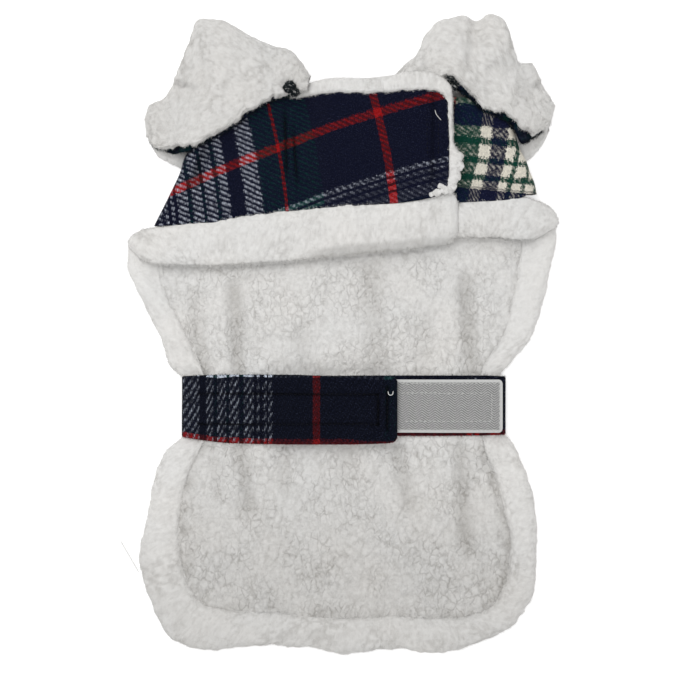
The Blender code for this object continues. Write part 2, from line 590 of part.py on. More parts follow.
def build_flap(side_name, fold, border, neck, end, floor, plaid, sherpa, lip):
    crown, low, neck_edge, end_edge = flap_edges(fold, border, neck, end)
    side = np.sign(fold[0].x)
    across = np.linspace(0.0, 1.0, FLAP_COLUMNS)
    up = np.linspace(0.0, 1.0, FLAP_ROWS)
    x, y = flap_grid(crown, low, neck_edge, end_edge, across, up)
    middle = floor(x, y) + FLAP_PILE + GAP + CLOTH / 2

    # round the fold and in under the body
    under = ground(x[:, :1], y[:, :1]) + CLOTH / 2
    radius = (middle[:, :1] - under) / 2
    reach = FOLD_REACH - CLOTH / 2
    angle = np.linspace(0.0, np.pi, WRAP_POINTS)[None, 1:]
    round_x = x[:, :1] + side * reach * np.sin(angle)
    round_z = under + radius + radius * np.cos(angle)
    run = FOLD_SEAM - FOLD_REACH - UNDER_SEAM
    seam_x = x[:, :1] - side * run * np.array([[0.5, 1.0]])
    seam_z = ground(seam_x, y[:, :1] + 0 * seam_x) + CLOTH / 2
    wrap_x = np.concatenate([round_x, seam_x], axis=1)[:, ::-1]
    wrap_z = np.concatenate([round_z, seam_z], axis=1)[:, ::-1]
    sheet("%s_flap_shell" % side_name, np.concatenate([wrap_x, x], axis=1),
          np.concatenate([np.repeat(y[:, :1], wrap_x.shape[1], axis=1), y], axis=1),
          np.concatenate([wrap_z, middle], axis=1), CLOTH, plaid)

    bottom = floor(x, y)
    top = bottom + FLAP_PILE
    if lip:
        x, y, bottom, top = add_lip(x, y, bottom, top)
    panel("%s_flap_lining" % side_name, x, y, bottom, top, sherpa)
    roll("%s_flap_border" % side_name, border, floor, FLAP_ROLL_STEPS, FLAP_ROLL_END, sherpa)


def add_lip(x, y, bottom, top):
    """Carry the lining out past the shell's end and neck edge, puffed up to the shell's face."""
    columns = x.shape[1]
    for row in FLAP_LIP:
        x = np.concatenate([x, x[:, columns - 1:columns] + row.out], axis=1)
        y = np.concatenate([y, y[:, columns - 1:columns]], axis=1)
        bottom = np.concatenate([bottom, bottom[:, columns - 1:columns]], axis=1)
        top = np.concatenate([top, top[:, columns - 1:columns] + row.up], axis=1)
    rows = x.shape[0]
    flat_top = bottom[-1:] + FLAP_PILE
    shown = ease(*NECK_LIP_START, x[-1:])
    width = NECK_LIP_LEAST + (NECK_LIP_SCALE - NECK_LIP_LEAST) * shown
    for row in FLAP_LIP:
        x = np.concatenate([x, x[rows - 1:rows]], axis=0)
        y = np.concatenate([y, y[rows - 1:rows] + row.out * width], axis=0)
        bottom = np.concatenate([bottom, bottom[rows - 1:rows]], axis=0)
        top = np.concatenate([top, flat_top + np.minimum(row.up, row.up * shown)], axis=0)
    return x, y, bottom, top


# ---------------------------------------------------------------- collar

def doubled(x, y, early=0.0):
    """1 north of the neckline, where the standing half of the collar lies on its fall."""
    neck = line_height(NECKLINE, x)
    return ease(NECK_CLIMB[0] - early, NECK_CLIMB[1] - early, y - neck)


def collar_grid(rows, steps, line, north, south):
    """Points of a collar fall from its fold to its free edge, with two rows beside a line that crosses it.

    The rows lie the lengths north and south before the line.
    """
    shares = row_shares(rows, steps)
    table, length = travel(rows, shares)
    x_fold, y_fold, x_free, y_free = (column[:, None] for column in table.T)
    width = np.hypot(x_fold - x_free, y_fold - y_free)
    trial = np.linspace(0.0, 1.0, TRIAL_POINTS)[None, :]
    trial_x = x_fold + (x_free - x_fold) * trial
    trial_y = y_fold + (y_free - y_fold) * trial
    past = (trial_y < line_height(line, trial_x)).mean(axis=1)[:, None]
    crossing = np.clip(1.0 - past, *CROSSING_LIMITS)
    before = np.maximum(crossing - north / width, LEAST_FOLD_SIDE * crossing)
    after = np.maximum(crossing - south / width, before + LEAST_ROW)
    v = np.concatenate([before * FOLD_SIDE_SHARES, after + (1.0 - after) * FREE_SIDE_SHARES], axis=1)
    x = x_fold + (x_free - x_fold) * v
    y = y_fold + (y_free - y_fold) * v
    ends = np.minimum(shares, 1 - shares)[:, None] * length + 0 * v
    return x, y, v * width, (1 - v) * width, ends


def build_back_collar(sherpa):
    x, y, from_fold, from_free, from_end = collar_grid(BACK_COLLAR, 1, NECKLINE, NECK_CLIMB[1], NECK_CLIMB[0])
    from_fold = np.minimum(from_fold, from_end)
    full = COLLAR_PILE * (1.0 + doubled(x, y))
    size = np.minimum(edge_round(from_fold, BACK_FOLD_ROUND), edge_round(from_free, FREE_ROUND))
    low = edge_round(from_fold, UNDERSIDE_ROUND)
    bottom = full * EDGE_HIGH * (1.0 - low)
    panel("collar_back", x, y, bottom, np.maximum(full * size, bottom + GAP), sherpa)


def over_flap(side, fold, neck, x, y):
    """1 where a collar fall lies on its flap, 0 past the flap's fold or north of its neck edge."""
    outside = side * (x - line_reach(fold, y))
    beside = 1.0 - ease(*FALL_DROP, outside)
    return beside * ease(*FALL_CLIMB, y - line_height(neck, x))


def fall_floor(side, fold, neck, floor, x, y):
    """Underside of a collar fall, with room for the plaid under it."""
    on_flap = over_flap(side, fold, neck, x, y)
    flap_top = floor(x, np.minimum(y, line_height(neck, x))) + RIGHT_SHELL_TOP + GAP + COLLAR_SLACK
    back_top = COLLAR_PILE * (1.0 + doubled(x, y, early=EARLY_CLIMB)) + GAP + 2 * SLACK
    room = (UNDER_COLLAR + GAP) * (1.0 - doubled(x, y) * (1.0 - on_flap))
    return back_top + (flap_top - back_top) * on_flap + room


def build_fall(side_name, side, rows, fold, neck, floor, plaid, sherpa):
    x, y, from_fold, from_free, from_end = collar_grid(rows, 2, neck, FALL_CLIMB[0], FALL_CLIMB[1])
    bottom = fall_floor(side, fold, neck, floor, x, y)
    outside = side * (x - line_reach(fold, y))
    droop = (FALL_CROWN - COLLAR_PILE - 2 * GAP - UNDER_COLLAR) * ease(*FALL_DROOP, outside)
    top = np.maximum(FALL_CROWN - droop, bottom) + COLLAR_PILE
    belly = bottom + (top - bottom) * FALL_BELLY
    from_free = np.minimum(from_free, from_end)
    top_round = np.minimum(edge_round(from_fold, FOLD_ROUND), edge_round(from_free, FREE_ROUND))
    top = belly + (top - belly) * top_round
    bottom = belly - (belly - bottom) * edge_round(np.minimum(from_fold, from_end), FREE_ROUND)
    panel("collar_%s" % side_name, x, y, bottom, top, sherpa)

    # the fall's plaid face, from just inside its free edge to the neck seam
    first, last = UNDER_COLLAR_ROWS[side_name]
    ends = sorted([rows[first].x_free, rows[last].x_free])
    sections = np.flatnonzero((x[:, -1] >= ends[0]) & (x[:, -1] <= ends[1]))
    part = np.ix_(sections, np.arange(FOLD_SIDE_SHARES.size, x.shape[1] - 1))
    plaid_top = bottom[part] - GAP
    panel("under_collar_%s" % side_name, x[part], y[part], plaid_top - UNDER_COLLAR, plaid_top, plaid)


# ---------------------------------------------------------------- belt and tapes

def strap_floor(x):
    """Top of the squeezed waist under the belt."""
    return lining_plain_top(x, BELT_MIDDLE + 0 * x) + GAP + SLACK


def left_strap_floor(x):
    rise = STRAP + 3 * GAP + 2 * TAPE
    return strap_floor(x) + rise * ease(*LEFT_STRAP_CLIMB, x)


def build_strap(name, rows, floor, plaid):
    side = np.sign(rows[0].x)
    table = np.array(rows)
    order = np.argsort(table[:, 0])
    radius = floor(np.array([rows[0].x]))[0] / 2
    crown = rows[0].x - side * (radius + STRAP / 2)
    run = np.linspace(crown, rows[-1].x, STRAP_POINTS)
    angle = np.linspace(np.pi, 0.0, WRAP_POINTS)[:-1]
    around = crown + side * radius * np.sin(angle)
    around_z = STRAP / 2 + radius + radius * np.cos(angle)
    tail = crown - side * np.array([STRAP_TAIL, STRAP_TAIL / 2])
    x = np.concatenate([tail, around, run])
    z = np.concatenate([np.full(2, STRAP / 2), around_z, floor(run) + STRAP / 2])
    y_high = curve(x, table[order, 0], table[order, 1])
    y_low = curve(x, table[order, 0], table[order, 2])
    v = np.linspace(0.0, 1.0, 3)[:, None]
    y = y_high + (y_low - y_high) * v
    sheet(name, x + 0 * y, y, z + 0 * y, STRAP, plaid)


def build_tape(name, tape, floor, material):
    """A rectangle of tape with rounded corners."""
    x = np.linspace(tape.x_left, tape.x_right, tape.columns)
    from_end = np.clip(np.minimum(x - tape.x_left, tape.x_right - x) / TAPE_CORNER, 0.0, 1.0)
    cut = TAPE_CORNER * (1.0 - np.sqrt(1.0 - (1.0 - from_end) ** 2))
    v = np.linspace(0.0, 1.0, TAPE_ROWS)[:, None]
    y = (tape.y_high - cut) + (tape.y_low - tape.y_high + 2 * cut) * v
    x = x + 0 * v
    bottom = floor(x, y)
    panel(name, x, y, bottom, bottom + TAPE, material)


def build_belt(plaid, hook, loop):
    build_strap("belt_right", RIGHT_STRAP, strap_floor, plaid)
    build_strap("belt_left", LEFT_STRAP, left_strap_floor, plaid)
    on_strap = STRAP + GAP + SLACK
    build_tape("belt_hook_tape", BELT_HOOK_TAPE, lambda x, y: strap_floor(x) + on_strap, hook)
    build_tape("belt_loop_tape", BELT_LOOP_TAPE, lambda x, y: strap_floor(x) + on_strap + TAPE + GAP, loop)


def build_chest_tapes(hook, loop):
    on_flap = RIGHT_SHELL_TOP + GAP
    build_tape("chest_loop_tape", CHEST_LOOP_TAPE, lambda x, y: flap_floor(x, y) + on_flap, loop)
    build_tape("chest_hook_tape", CHEST_HOOK_TAPE, lambda x, y: flap_floor(x, y) + on_flap + TAPE + GAP, hook)


def main():
    clear_scene()
    plaid = cloth_material("plaid", (0.012, 0.016, 0.035), 0.9)
    sherpa = cloth_material("sherpa", (0.78, 0.77, 0.75), 0.95)
    hook = cloth_material("hook tape", (0.32, 0.32, 0.33), 0.7)
    loop = cloth_material("loop tape", (0.03, 0.03, 0.05), 0.9)
    build_back(plaid, sherpa)
    build_back_collar(sherpa)
    build_flap("right", RIGHT_FOLD, RIGHT_FLAP_BORDER, RIGHT_FLAP_NECK, RIGHT_FLAP_END, flap_floor,
               plaid, sherpa, lip=False)
    build_flap("left", LEFT_FOLD, LEFT_FLAP_BORDER, LEFT_FLAP_NECK, LEFT_FLAP_END, left_floor,
               plaid, sherpa, lip=True)
    build_chest_tapes(hook, loop)
    build_fall("left", -1, LEFT_COLLAR, LEFT_FOLD, LEFT_FLAP_NECK, left_floor, plaid, sherpa)
    build_fall("right", 1, RIGHT_COLLAR, RIGHT_FOLD, RIGHT_FLAP_NECK, flap_floor, plaid, sherpa)
    build_belt(plaid, hook, loop)


main()
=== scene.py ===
import itertools
import math
import bpy
import numpy as np
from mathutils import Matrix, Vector


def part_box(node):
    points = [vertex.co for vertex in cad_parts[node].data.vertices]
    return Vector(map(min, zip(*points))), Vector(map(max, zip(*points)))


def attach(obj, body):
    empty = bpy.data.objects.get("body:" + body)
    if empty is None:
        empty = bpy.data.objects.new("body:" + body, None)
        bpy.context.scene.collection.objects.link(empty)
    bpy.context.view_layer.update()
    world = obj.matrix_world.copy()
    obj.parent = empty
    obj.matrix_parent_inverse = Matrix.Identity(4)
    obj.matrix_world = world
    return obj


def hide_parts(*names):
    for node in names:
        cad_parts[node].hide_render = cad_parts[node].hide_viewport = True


# The looks of a dog winter coat that lies on its back. Sizes are in millimetres; meshes are made in metres.
# Left and right are as seen from above.

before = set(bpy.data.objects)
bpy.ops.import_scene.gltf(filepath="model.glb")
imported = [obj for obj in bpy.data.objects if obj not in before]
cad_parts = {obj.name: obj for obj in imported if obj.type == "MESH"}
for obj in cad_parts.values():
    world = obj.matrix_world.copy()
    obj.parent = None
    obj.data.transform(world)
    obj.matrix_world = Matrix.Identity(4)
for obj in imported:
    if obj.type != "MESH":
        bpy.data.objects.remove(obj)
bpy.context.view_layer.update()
mm = 0.001

# Layers of cloth and how they stack
layers = {
    "gap": 0.3,             # between pieces that lie on each other
    "shell": 1.8,           # plaid
    "underCollar": 1.5,
    "pile": 5.0,            # sherpa lining where it lies free
    "chestSqueeze": 0.8,
    "beltSqueeze": 1.6,
    "flapPile": 3.8,
    "collarPile": 6.5,
    "strap": 2.6,
    "tape": 1.2,
    "slack": 0.1,
    "collarSlack": 0.45,
}
gap = layers["gap"]


def ease(start, end, value):
    # 0 before start, 1 after end, smooth between
    t = np.clip((value - start) / (end - start), 0.0, 1.0)
    return t * t * (3.0 - 2.0 * t)


def quarter(distance, radius):
    # 0 at an edge, 1 from one radius in, along a quarter circle
    return np.sqrt(1.0 - (1.0 - np.clip(distance / radius, 0.0, 1.0)) ** 2)


def bunched(count):
    # shares from 0 to 1, closer together at both ends
    t = np.linspace(0.0, 1.0, count)
    return t - 0.09 * np.sin(2 * np.pi * t)


def summed(steps):
    # running total, from 0
    return np.concatenate([[0.0], np.cumsum(steps)])


def joined(*parts):
    # points, or places in the weave, from their coordinates
    return np.stack(np.broadcast_arrays(*parts), axis=-1)


def upright(table):
    # a table's columns, each as an upright array that spreads over a grid
    return [column[:, None] for column in table.T]


def curve(at, knots, values):
    # cubic through the values with no overshoot between them
    at, knots, values = (np.asarray(numbers, dtype=float) for numbers in (at, knots, values))
    width = np.diff(knots)
    slope = np.diff(values) / width
    tangent = np.zeros(len(knots))
    tangent[0], tangent[-1] = slope[0], slope[-1]
    product, total = slope[:-1] * slope[1:], slope[:-1] + slope[1:]
    tangent[1:-1] = np.where(product > 0, 2.0 * product / np.where(total == 0, 1.0, total), 0.0)
    cell = np.clip(np.searchsorted(knots, at, side="right") - 1, 0, len(width) - 1)
    t = np.clip((at - knots[cell]) / width[cell], 0.0, 1.0)
    rise = values[cell + 1] - values[cell]
    first, last = tangent[cell] * width[cell], tangent[cell + 1] * width[cell]
    return values[cell] + first * t + (3 * rise - 2 * first - last) * t**2 + (first + last - 2 * rise) * t**3


def lineHeight(points, x):
    # y of a line of points, at x
    rows = np.array(sorted(points))
    return curve(x, rows[:, 0], rows[:, 1])


def lineReach(points, y):
    # x of a line of points, at y
    rows = np.array(sorted(points, key=lambda point: point[1]))
    return curve(y, rows[:, 1], rows[:, 0])


def middleLength(table):
    # length along the middle of a table of sections, at each of its rows
    middle = (table[:, 0:2] + table[:, 2:4]) / 2.0 if table.shape[1] >= 4 else table[:, 0:2]
    return summed(np.hypot(*np.diff(middle, axis=0).T))


def travel(rows, share):
    # all columns of a table at shares (0 to 1) of its length, and that length
    table = np.array(rows, dtype=float)
    length = middleLength(table)
    at = np.asarray(share) * length[-1]
    return np.stack([curve(at, length, column) for column in table.T], axis=-1), length[-1]


# The outlines are those of the frame's solids.

# border round the body, from the left chest corner round the hem: outer point, inner point, height
cornerRoll, bodyRoll, waistRoll = 6.2, 11.0, 5.2
bodyBorder = [
    (-145.0, 72.5, -124.0, 60.0, cornerRoll), (-151.4, 61.5, -126.5, 52.0, cornerRoll),
    (-151.9, 50.0, -126.0, 42.0, cornerRoll), (-146.0, 33.0, -124.0, 30.5, 9.5),
    (-136.0, 13.5, -115.5, 13.5, bodyRoll), (-128.0, -4.0, -107.0, -3.0, bodyRoll),
    (-123.3, -19.0, -101.0, -18.0, 8.5), (-116.6, -26.6, -98.0, -26.6, waistRoll),
    (-109.4, -34.0, -96.0, -34.0, waistRoll), (-109.4, -65.0, -96.0, -65.0, waistRoll),
    (-114.0, -71.5, -97.0, -72.0, waistRoll), (-124.0, -80.5, -101.0, -81.0, 8.5),
    (-132.5, -100.0, -109.0, -100.0, bodyRoll), (-138.5, -129.0, -114.0, -129.0, bodyRoll),
    (-143.0, -154.5, -114.0, -151.5, bodyRoll), (-136.5, -182.5, -107.0, -176.0, bodyRoll),
    (-119.5, -213.5, -95.0, -188.5, bodyRoll), (-96.5, -221.5, -72.0, -193.0, bodyRoll),
    (-56.0, -218.5, -40.0, -194.5, bodyRoll), (-29.0, -219.0, -16.0, -197.0, 10.0),
    (1.5, -224.2, 8.5, -197.5, bodyRoll), (34.0, -220.5, 38.0, -196.0, 10.0),
    (57.0, -224.4, 58.0, -197.5, bodyRoll), (82.0, -220.8, 77.0, -197.5, bodyRoll),
    (112.5, -208.5, 99.0, -192.5, bodyRoll), (129.5, -190.5, 110.5, -180.0, bodyRoll),
    (136.5, -167.0, 116.0, -164.0, bodyRoll), (136.5, -143.0, 117.0, -143.0, bodyRoll),
    (135.0, -119.0, 111.5, -119.5, bodyRoll), (130.0, -98.5, 106.5, -98.5, bodyRoll),
    (121.8, -79.5, 99.5, -80.0, 8.5), (116.0, -71.0, 98.0, -71.4, waistRoll),
    (110.4, -65.0, 97.0, -65.0, waistRoll), (110.4, -34.0, 97.0, -34.0, waistRoll),
    (111.5, -26.6, 97.0, -26.6, waistRoll), (117.4, -20.0, 100.0, -18.0, 8.5),
    (133.6, 1.0, 110.5, -0.5, bodyRoll), (141.5, 26.0, 117.5, 23.5, bodyRoll),
    (146.3, 51.0, 122.5, 48.0, 9.5), (150.5, 69.0, 125.5, 63.0, cornerRoll),
    (150.5, 84.0, 122.0, 76.0, cornerRoll),
]
hemLeftCorner, hemRightCorner = 16, 24      # rows where the sides turn into the hem
leftFlapBorder = [
    (-153.5, 66.0, -139.0, 50.0, 9.0), (-139.5, 74.5, -119.0, 48.5, 9.0), (-94.5, 80.0, -89.5, 48.5, 9.0),
    (-41.5, 87.5, -44.0, 51.0, 9.0), (-2.0, 90.5, 1.5, 55.5, 9.0), (37.0, 93.0, 40.0, 59.0, 8.0),
    (64.0, 97.5, 67.0, 62.0, 5.6), (79.5, 101.0, 81.0, 65.0, 3.4),
]
rightFlapBorder = [
    (155.1, 79.5, 131.0, 65.0, 8.0), (142.0, 92.0, 120.0, 66.0, 8.0), (122.0, 97.0, 110.0, 67.0, 8.0),
    (101.0, 95.0, 99.5, 67.5, 8.0), (76.5, 94.0, 77.5, 67.5, 7.6), (40.0, 89.0, 40.0, 64.0, 7.2),
    (-2.0, 84.0, -2.0, 60.0, 7.2),
]
leftFold = [
    (-132.5, 76.5), (-121.0, 98.5), (-113.5, 114.5), (-111.5, 122.0), (-107.0, 130.0), (-100.0, 140.5),
    (-89.5, 154.5), (-82.0, 162.0),
]
rightFold = [
    (135.5, 98.5), (134.0, 105.5), (130.5, 114.5), (128.0, 121.5), (123.5, 130.0), (120.5, 139.5),
    (117.0, 154.5), (114.0, 162.0),
]
neckline = [
    (-150.0, 194.0), (-110.0, 184.0), (-79.0, 171.0), (-58.0, 163.0), (-37.0, 157.5), (0.0, 153.5),
    (61.0, 158.5), (98.0, 168.0), (114.0, 174.0), (135.0, 185.0), (150.0, 194.0),
]
leftFlapNeck = [
    (-82.0, 162.0), (-51.0, 166.5), (-22.5, 170.0), (-4.0, 171.0), (16.0, 170.5), (41.5, 172.0),
    (57.5, 173.0), (67.5, 171.0), (72.5, 165.0),
]
leftFlapEnd = [(73.0, 102.5), (73.6, 130.0), (72.5, 165.0)]
rightFlapNeck = [(114.0, 162.0), (96.0, 166.0), (76.5, 166.0), (40.0, 162.0), (-4.0, 158.0)]
rightFlapEnd = [(-4.0, 86.0), (-5.0, 120.0), (-4.0, 158.0)]
foldReach, foldSeam = 6.3, 18.0     # from a fold's outline to its crown and to the seam under the body

# collar falls: the turned-over fold and the free edge of each section
leftCollar = [
    (-138.8, 151.0, -137.4, 139.0), (-135.5, 161.0, -131.0, 131.0), (-125.5, 166.5, -119.5, 130.0),
    (-116.0, 181.5, -107.0, 130.5), (-109.4, 201.0, -96.0, 135.5), (-99.8, 220.5, -84.5, 141.0),
    (-86.0, 220.0, -73.5, 148.0), (-66.5, 210.5, -62.5, 156.0), (-49.5, 202.5, -50.0, 163.5),
    (-38.0, 199.5, -42.0, 166.0), (-29.0, 191.0, -33.5, 166.8), (-22.5, 180.5, -25.5, 168.5),
]
rightCollar = [
    (36.0, 181.4, 40.0, 173.5), (43.0, 188.8, 53.0, 176.0), (51.5, 196.8, 64.0, 178.4),
    (57.0, 208.6, 73.5, 178.5), (67.5, 219.5, 82.0, 173.5), (84.5, 223.0, 90.0, 165.0),
    (92.5, 219.5, 95.5, 158.5), (101.5, 224.2, 102.0, 155.5), (111.0, 220.5, 109.0, 154.0),
    (118.5, 203.0, 115.5, 151.0), (123.5, 189.8, 121.0, 145.5), (131.0, 190.8, 127.0, 141.5),
    (139.5, 175.5, 133.0, 139.5), (148.5, 161.0, 145.0, 147.0),
]
backCollar = [
    (-137.5, 148.0, -137.0, 137.0), (-131.0, 160.5, -129.5, 125.0), (-121.0, 167.0, -119.5, 119.5),
    (-109.0, 191.5, -107.0, 115.0), (-97.5, 211.0, -91.5, 111.5), (-83.0, 214.5, -72.0, 108.0),
    (-65.0, 206.5, -56.0, 105.5), (-49.0, 199.0, -42.0, 104.0), (-36.0, 191.0, -30.0, 103.0),
    (-22.0, 175.0, -17.0, 102.0), (-5.0, 166.5, -4.0, 102.0), (14.0, 165.5, 12.0, 102.5),
    (32.0, 171.0, 30.0, 103.5), (47.0, 186.0, 45.0, 105.0), (60.0, 205.0, 60.0, 106.5),
    (78.0, 216.5, 80.0, 108.5), (101.0, 219.0, 102.0, 112.0), (115.0, 202.0, 117.0, 115.5),
    (128.0, 188.0, 131.0, 123.0), (140.0, 172.0, 140.5, 133.0), (146.5, 156.0, 145.5, 144.0),
]
collarFree = [(row[2], row[3]) for row in backCollar]

# belt straps: x, upper edge, lower edge
leftStrap = [
    (-113.2, -28.6, -71.0), (-96.0, -27.7, -73.6), (-78.0, -27.4, -75.4), (-40.0, -27.4, -76.2),
    (0.0, -28.4, -76.2), (30.0, -28.0, -75.4), (36.0, -29.0, -74.4), (38.0, -32.0, -71.5),
]
rightStrap = [
    (114.2, -28.6, -69.4), (96.0, -28.0, -70.0), (40.0, -28.0, -70.4), (-24.0, -28.6, -70.6),
    (-29.0, -30.0, -69.6), (-31.0, -33.0, -66.6),
]
beltMiddle, strapTail = -50.0, 34.0


# where the layers rise and sink, each from its first place to its second
rises = {
    "backCollar": (-62.0, -3.0),    # y from the back collar's free edge: the body climbs on it
    "strapTail": (42.0, 71.0),      # x to either side
    "beltAbove": (-10.0, -25.0),
    "beltBelow": (-94.0, -79.0),
    "chest": (40.0, 62.0),
    "leftFlap": (-30.0, -5.0),      # x: it climbs on the right flap
    "leftBand": (-1.5, 7.5),        # y from the band's inner edge
    "bandEnd": (50.0, 80.0),
    "leftStrap": (-62.0, -33.0),    # x: it climbs on the right strap
}


def groundAt(x, y):
    # underside of the shell: the floor, but for the back collar and the strap tails under it
    edge = lineHeight(collarFree, x)
    start, end = rises["backCollar"]
    lift = (layers["collarPile"] + gap) * ease(edge + start, edge + end, y)
    return lift + (layers["strap"] + gap) * beltZone(y) * ease(*rises["strapTail"], np.abs(x))


def beltZone(y):
    # 1 along the belt
    return ease(*rises["beltAbove"], y) * ease(*rises["beltBelow"], y)


def liningBottom(x, y):
    return groundAt(x, y) + layers["shell"] + gap


def liningTop(x, y):
    squeeze = layers["beltSqueeze"] * beltZone(y) + layers["chestSqueeze"] * ease(*rises["chest"], y)
    return liningBottom(x, y) + layers["pile"] - squeeze


def rightFlapFloor(x, y):
    return liningTop(x, y) + gap + layers["slack"]


shellTop = layers["flapPile"] + gap + layers["shell"]
leftRise = shellTop + 3 * gap + 2 * layers["tape"]
fallCrown = (layers["collarPile"] + layers["shell"] + layers["pile"] - layers["chestSqueeze"] + shellTop
             + layers["underCollar"] + 5 * gap)


def leftFlapFloor(x, y):
    return rightFlapFloor(x, y) + leftRise * ease(*rises["leftFlap"], x)


def leftBandFloor(x, y):
    # the left flap's border hangs over the right one's lower edge down to the lining
    inner = lineHeight([row[2:4] for row in leftFlapBorder], x)
    rise = (leftFlapFloor(x, y) - rightFlapFloor(x, y)) * (1.0 - 0.2 * ease(*rises["bandEnd"], x))
    return rightFlapFloor(x, y) + rise * ease(*rises["leftBand"], y - inner)


def strapFloor(x):
    return liningTop(x, beltMiddle + 0 * x) + gap + layers["slack"]


def leftStrapFloor(x):
    return strapFloor(x) + (layers["strap"] + 3 * gap + 2 * layers["tape"]) * ease(*rises["leftStrap"], x)


def scattered(cell, seed):
    # three even random numbers for each lattice cell, from its mixed and scrambled coordinates
    mixed = (cell[..., 0] * 73856093) ^ (cell[..., 1] * 19349663) ^ (cell[..., 2] * 83492791)
    mixed = mixed ^ (seed * 40503 + 977)
    key = (mixed & 0xFFFFFFFF).astype(np.uint32)
    numbers = []
    for step in (0x45D9F3B, 0x119DE1F3, 0x2C1B3C6D):
        key = (key ^ (key >> np.uint32(16))) * np.uint32(step)
        numbers.append(((key ^ (key >> np.uint32(15))) & np.uint32(0xFFFFFF)) / float(0xFFFFFF))
    return np.stack(numbers, axis=-1)


def waves(points, size, seed):
    # smooth noise from -1 to 1 whose swells are about a size wide
    at = points / size
    base = np.floor(at).astype(np.int64)
    t = at - base
    t = t * t * (3.0 - 2.0 * t)
    total = np.zeros(points.shape[:-1])
    for corner in itertools.product((0, 1), repeat=3):
        corner = np.array(corner)
        weight = np.prod(np.where(corner == 1, t, 1.0 - t), axis=-1)
        total = total + weight * scattered(base + corner, seed)[..., 0]
    return 2.0 * total - 1.0


def swirls(points, size, seed):
    # noise from about -1 to 1 that slopes at random through 0 at each lattice point, on a turned lattice
    at = points @ latticeTurn / size
    base = np.floor(at).astype(np.int64)
    t = at - base
    fade = t**3 * (t * (6.0 * t - 15.0) + 10.0)
    total = np.zeros(points.shape[:-1])
    for corner in itertools.product((0, 1), repeat=3):
        corner = np.array(corner)
        weight = np.prod(np.where(corner == 1, fade, 1.0 - fade), axis=-1)
        slope = 2.0 * scattered(base + corner, seed) - 1.0
        total = total + weight * (slope * (t - corner)).sum(axis=-1)
    return 1.7 * total


latticeTurn = np.array([(0.81, -0.43, 0.40), (0.53, 0.82, -0.20), (-0.24, 0.37, 0.90)])


def cells(points, size, seed):
    # points scattered one to a lattice cell: how much farther the second nearest is than the nearest, and a
    # random number for the nearest one
    at = points / size
    base = np.floor(at).astype(np.int64)
    first, tone = np.full(at.shape[:-1], 9.0), np.zeros(at.shape[:-1])
    second = first
    for offset in itertools.product((-1, 0, 1), repeat=3):
        cell = base + np.array(offset)
        jitter = scattered(cell, seed)
        away = np.linalg.norm(at - cell - jitter, axis=-1)
        nearer = away < first
        second = np.where(nearer, first, np.minimum(second, away))
        tone = np.where(nearer, jitter[..., 0], tone)
        first = np.minimum(first, away)
    return (second - first) * size, tone


sherpaLooks = {
    # clump: width of a curl clump; stretch: how much longer it is along X, Y, Z; wander: how far its
    # edges wriggle; high: how far it stands up; curl: height of the small curls; deep and crevice: depth
    # and half width of the gaps; always and patch: how much of them shows everywhere, and the size of the
    # stretches where all do; wave and waveSize: height and size of the slow waves
    "lining": {"clump": 6.6, "stretch": (0.85, 1.3, 1.0), "wander": 1.7, "high": 0.56, "curl": 0.12,
               "deep": 0.35, "crevice": 0.8, "always": 0.4, "patch": 19.0, "wave": 1.0, "waveSize": 20.0},
    "border": {"clump": 7.0, "stretch": (1.0, 1.0, 1.0), "wander": 2.4, "high": 0.54, "curl": 0.1,
               "deep": 0.28, "crevice": 1.3, "always": 0.25, "patch": 22.0, "wave": 0.6, "waveSize": 17.0},
    "band": {"clump": 6.6, "stretch": (0.9, 1.2, 1.0), "wander": 2.2, "high": 0.42, "curl": 0.1,
             "deep": 0.28, "crevice": 1.3, "always": 0.3, "patch": 20.0, "wave": 0.45, "waveSize": 16.0},
    "collar": {"clump": 6.8, "stretch": (0.9, 1.25, 1.0), "wander": 2.4, "high": 0.68, "curl": 0.14,
               "deep": 0.5, "crevice": 1.2, "always": 0.4, "patch": 19.0, "wave": 0.8, "waveSize": 18.0},
}


def pile(points, look, seed):
    # height of the pile: low rounded clumps with wriggling edges, small curls and slow waves, less gaps that
    # follow the clumps' edges and come and go; and how much painted shade each point gets, from 0 to 1, from
    # how deep in a gap it is and how low its curls are
    wriggle = np.stack([swirls(points, look["clump"] * 0.42, seed + k) for k in range(3)], axis=-1)
    sway = np.stack([swirls(points, look["clump"] * 1.6, seed + 4 + k) for k in range(3)], axis=-1)
    at = (points + look["wander"] * (0.55 * wriggle + sway)) / np.array(look["stretch"])
    edge, tone = cells(at, look["clump"], seed)
    curl = swirls(at, look["clump"] * 0.38, seed + 7) + 0.6 * swirls(at, look["clump"] * 0.2, seed + 8)
    patches = ease(-0.2, 0.55, swirls(points, look["patch"], seed + 11))
    opened = look["always"] + (1.0 - look["always"]) * patches
    broken = ease(-0.7, 0.1, swirls(points, look["clump"] * 0.7, seed + 12))
    hollow = np.exp(-(edge / look["crevice"]) ** 2) * opened * broken
    dome = 1.0 - np.exp(-edge / (0.3 * look["clump"]))
    high = (look["high"] * (dome - 0.6 + 0.4 * (tone - 0.5)) + look["curl"] * curl - look["deep"] * hollow
            + look["wave"] * swirls(points, look["waveSize"], seed + 13))
    return high, np.clip(0.6 * hollow + 0.3 * (0.3 - curl), 0.0, 1.0)


def gridFaces(rows, columns, first=0):
    corner = (first + np.arange(rows - 1)[:, None] * columns + np.arange(columns - 1)[None, :]).ravel()
    return np.stack([corner, corner + 1, corner + columns + 1, corner + columns], axis=1)


def gridRim(rows, columns):
    index = np.arange(rows * columns).reshape(rows, columns)
    return np.concatenate([index[0, :-1], index[:-1, -1], index[-1, :0:-1], index[:0:-1, 0]])


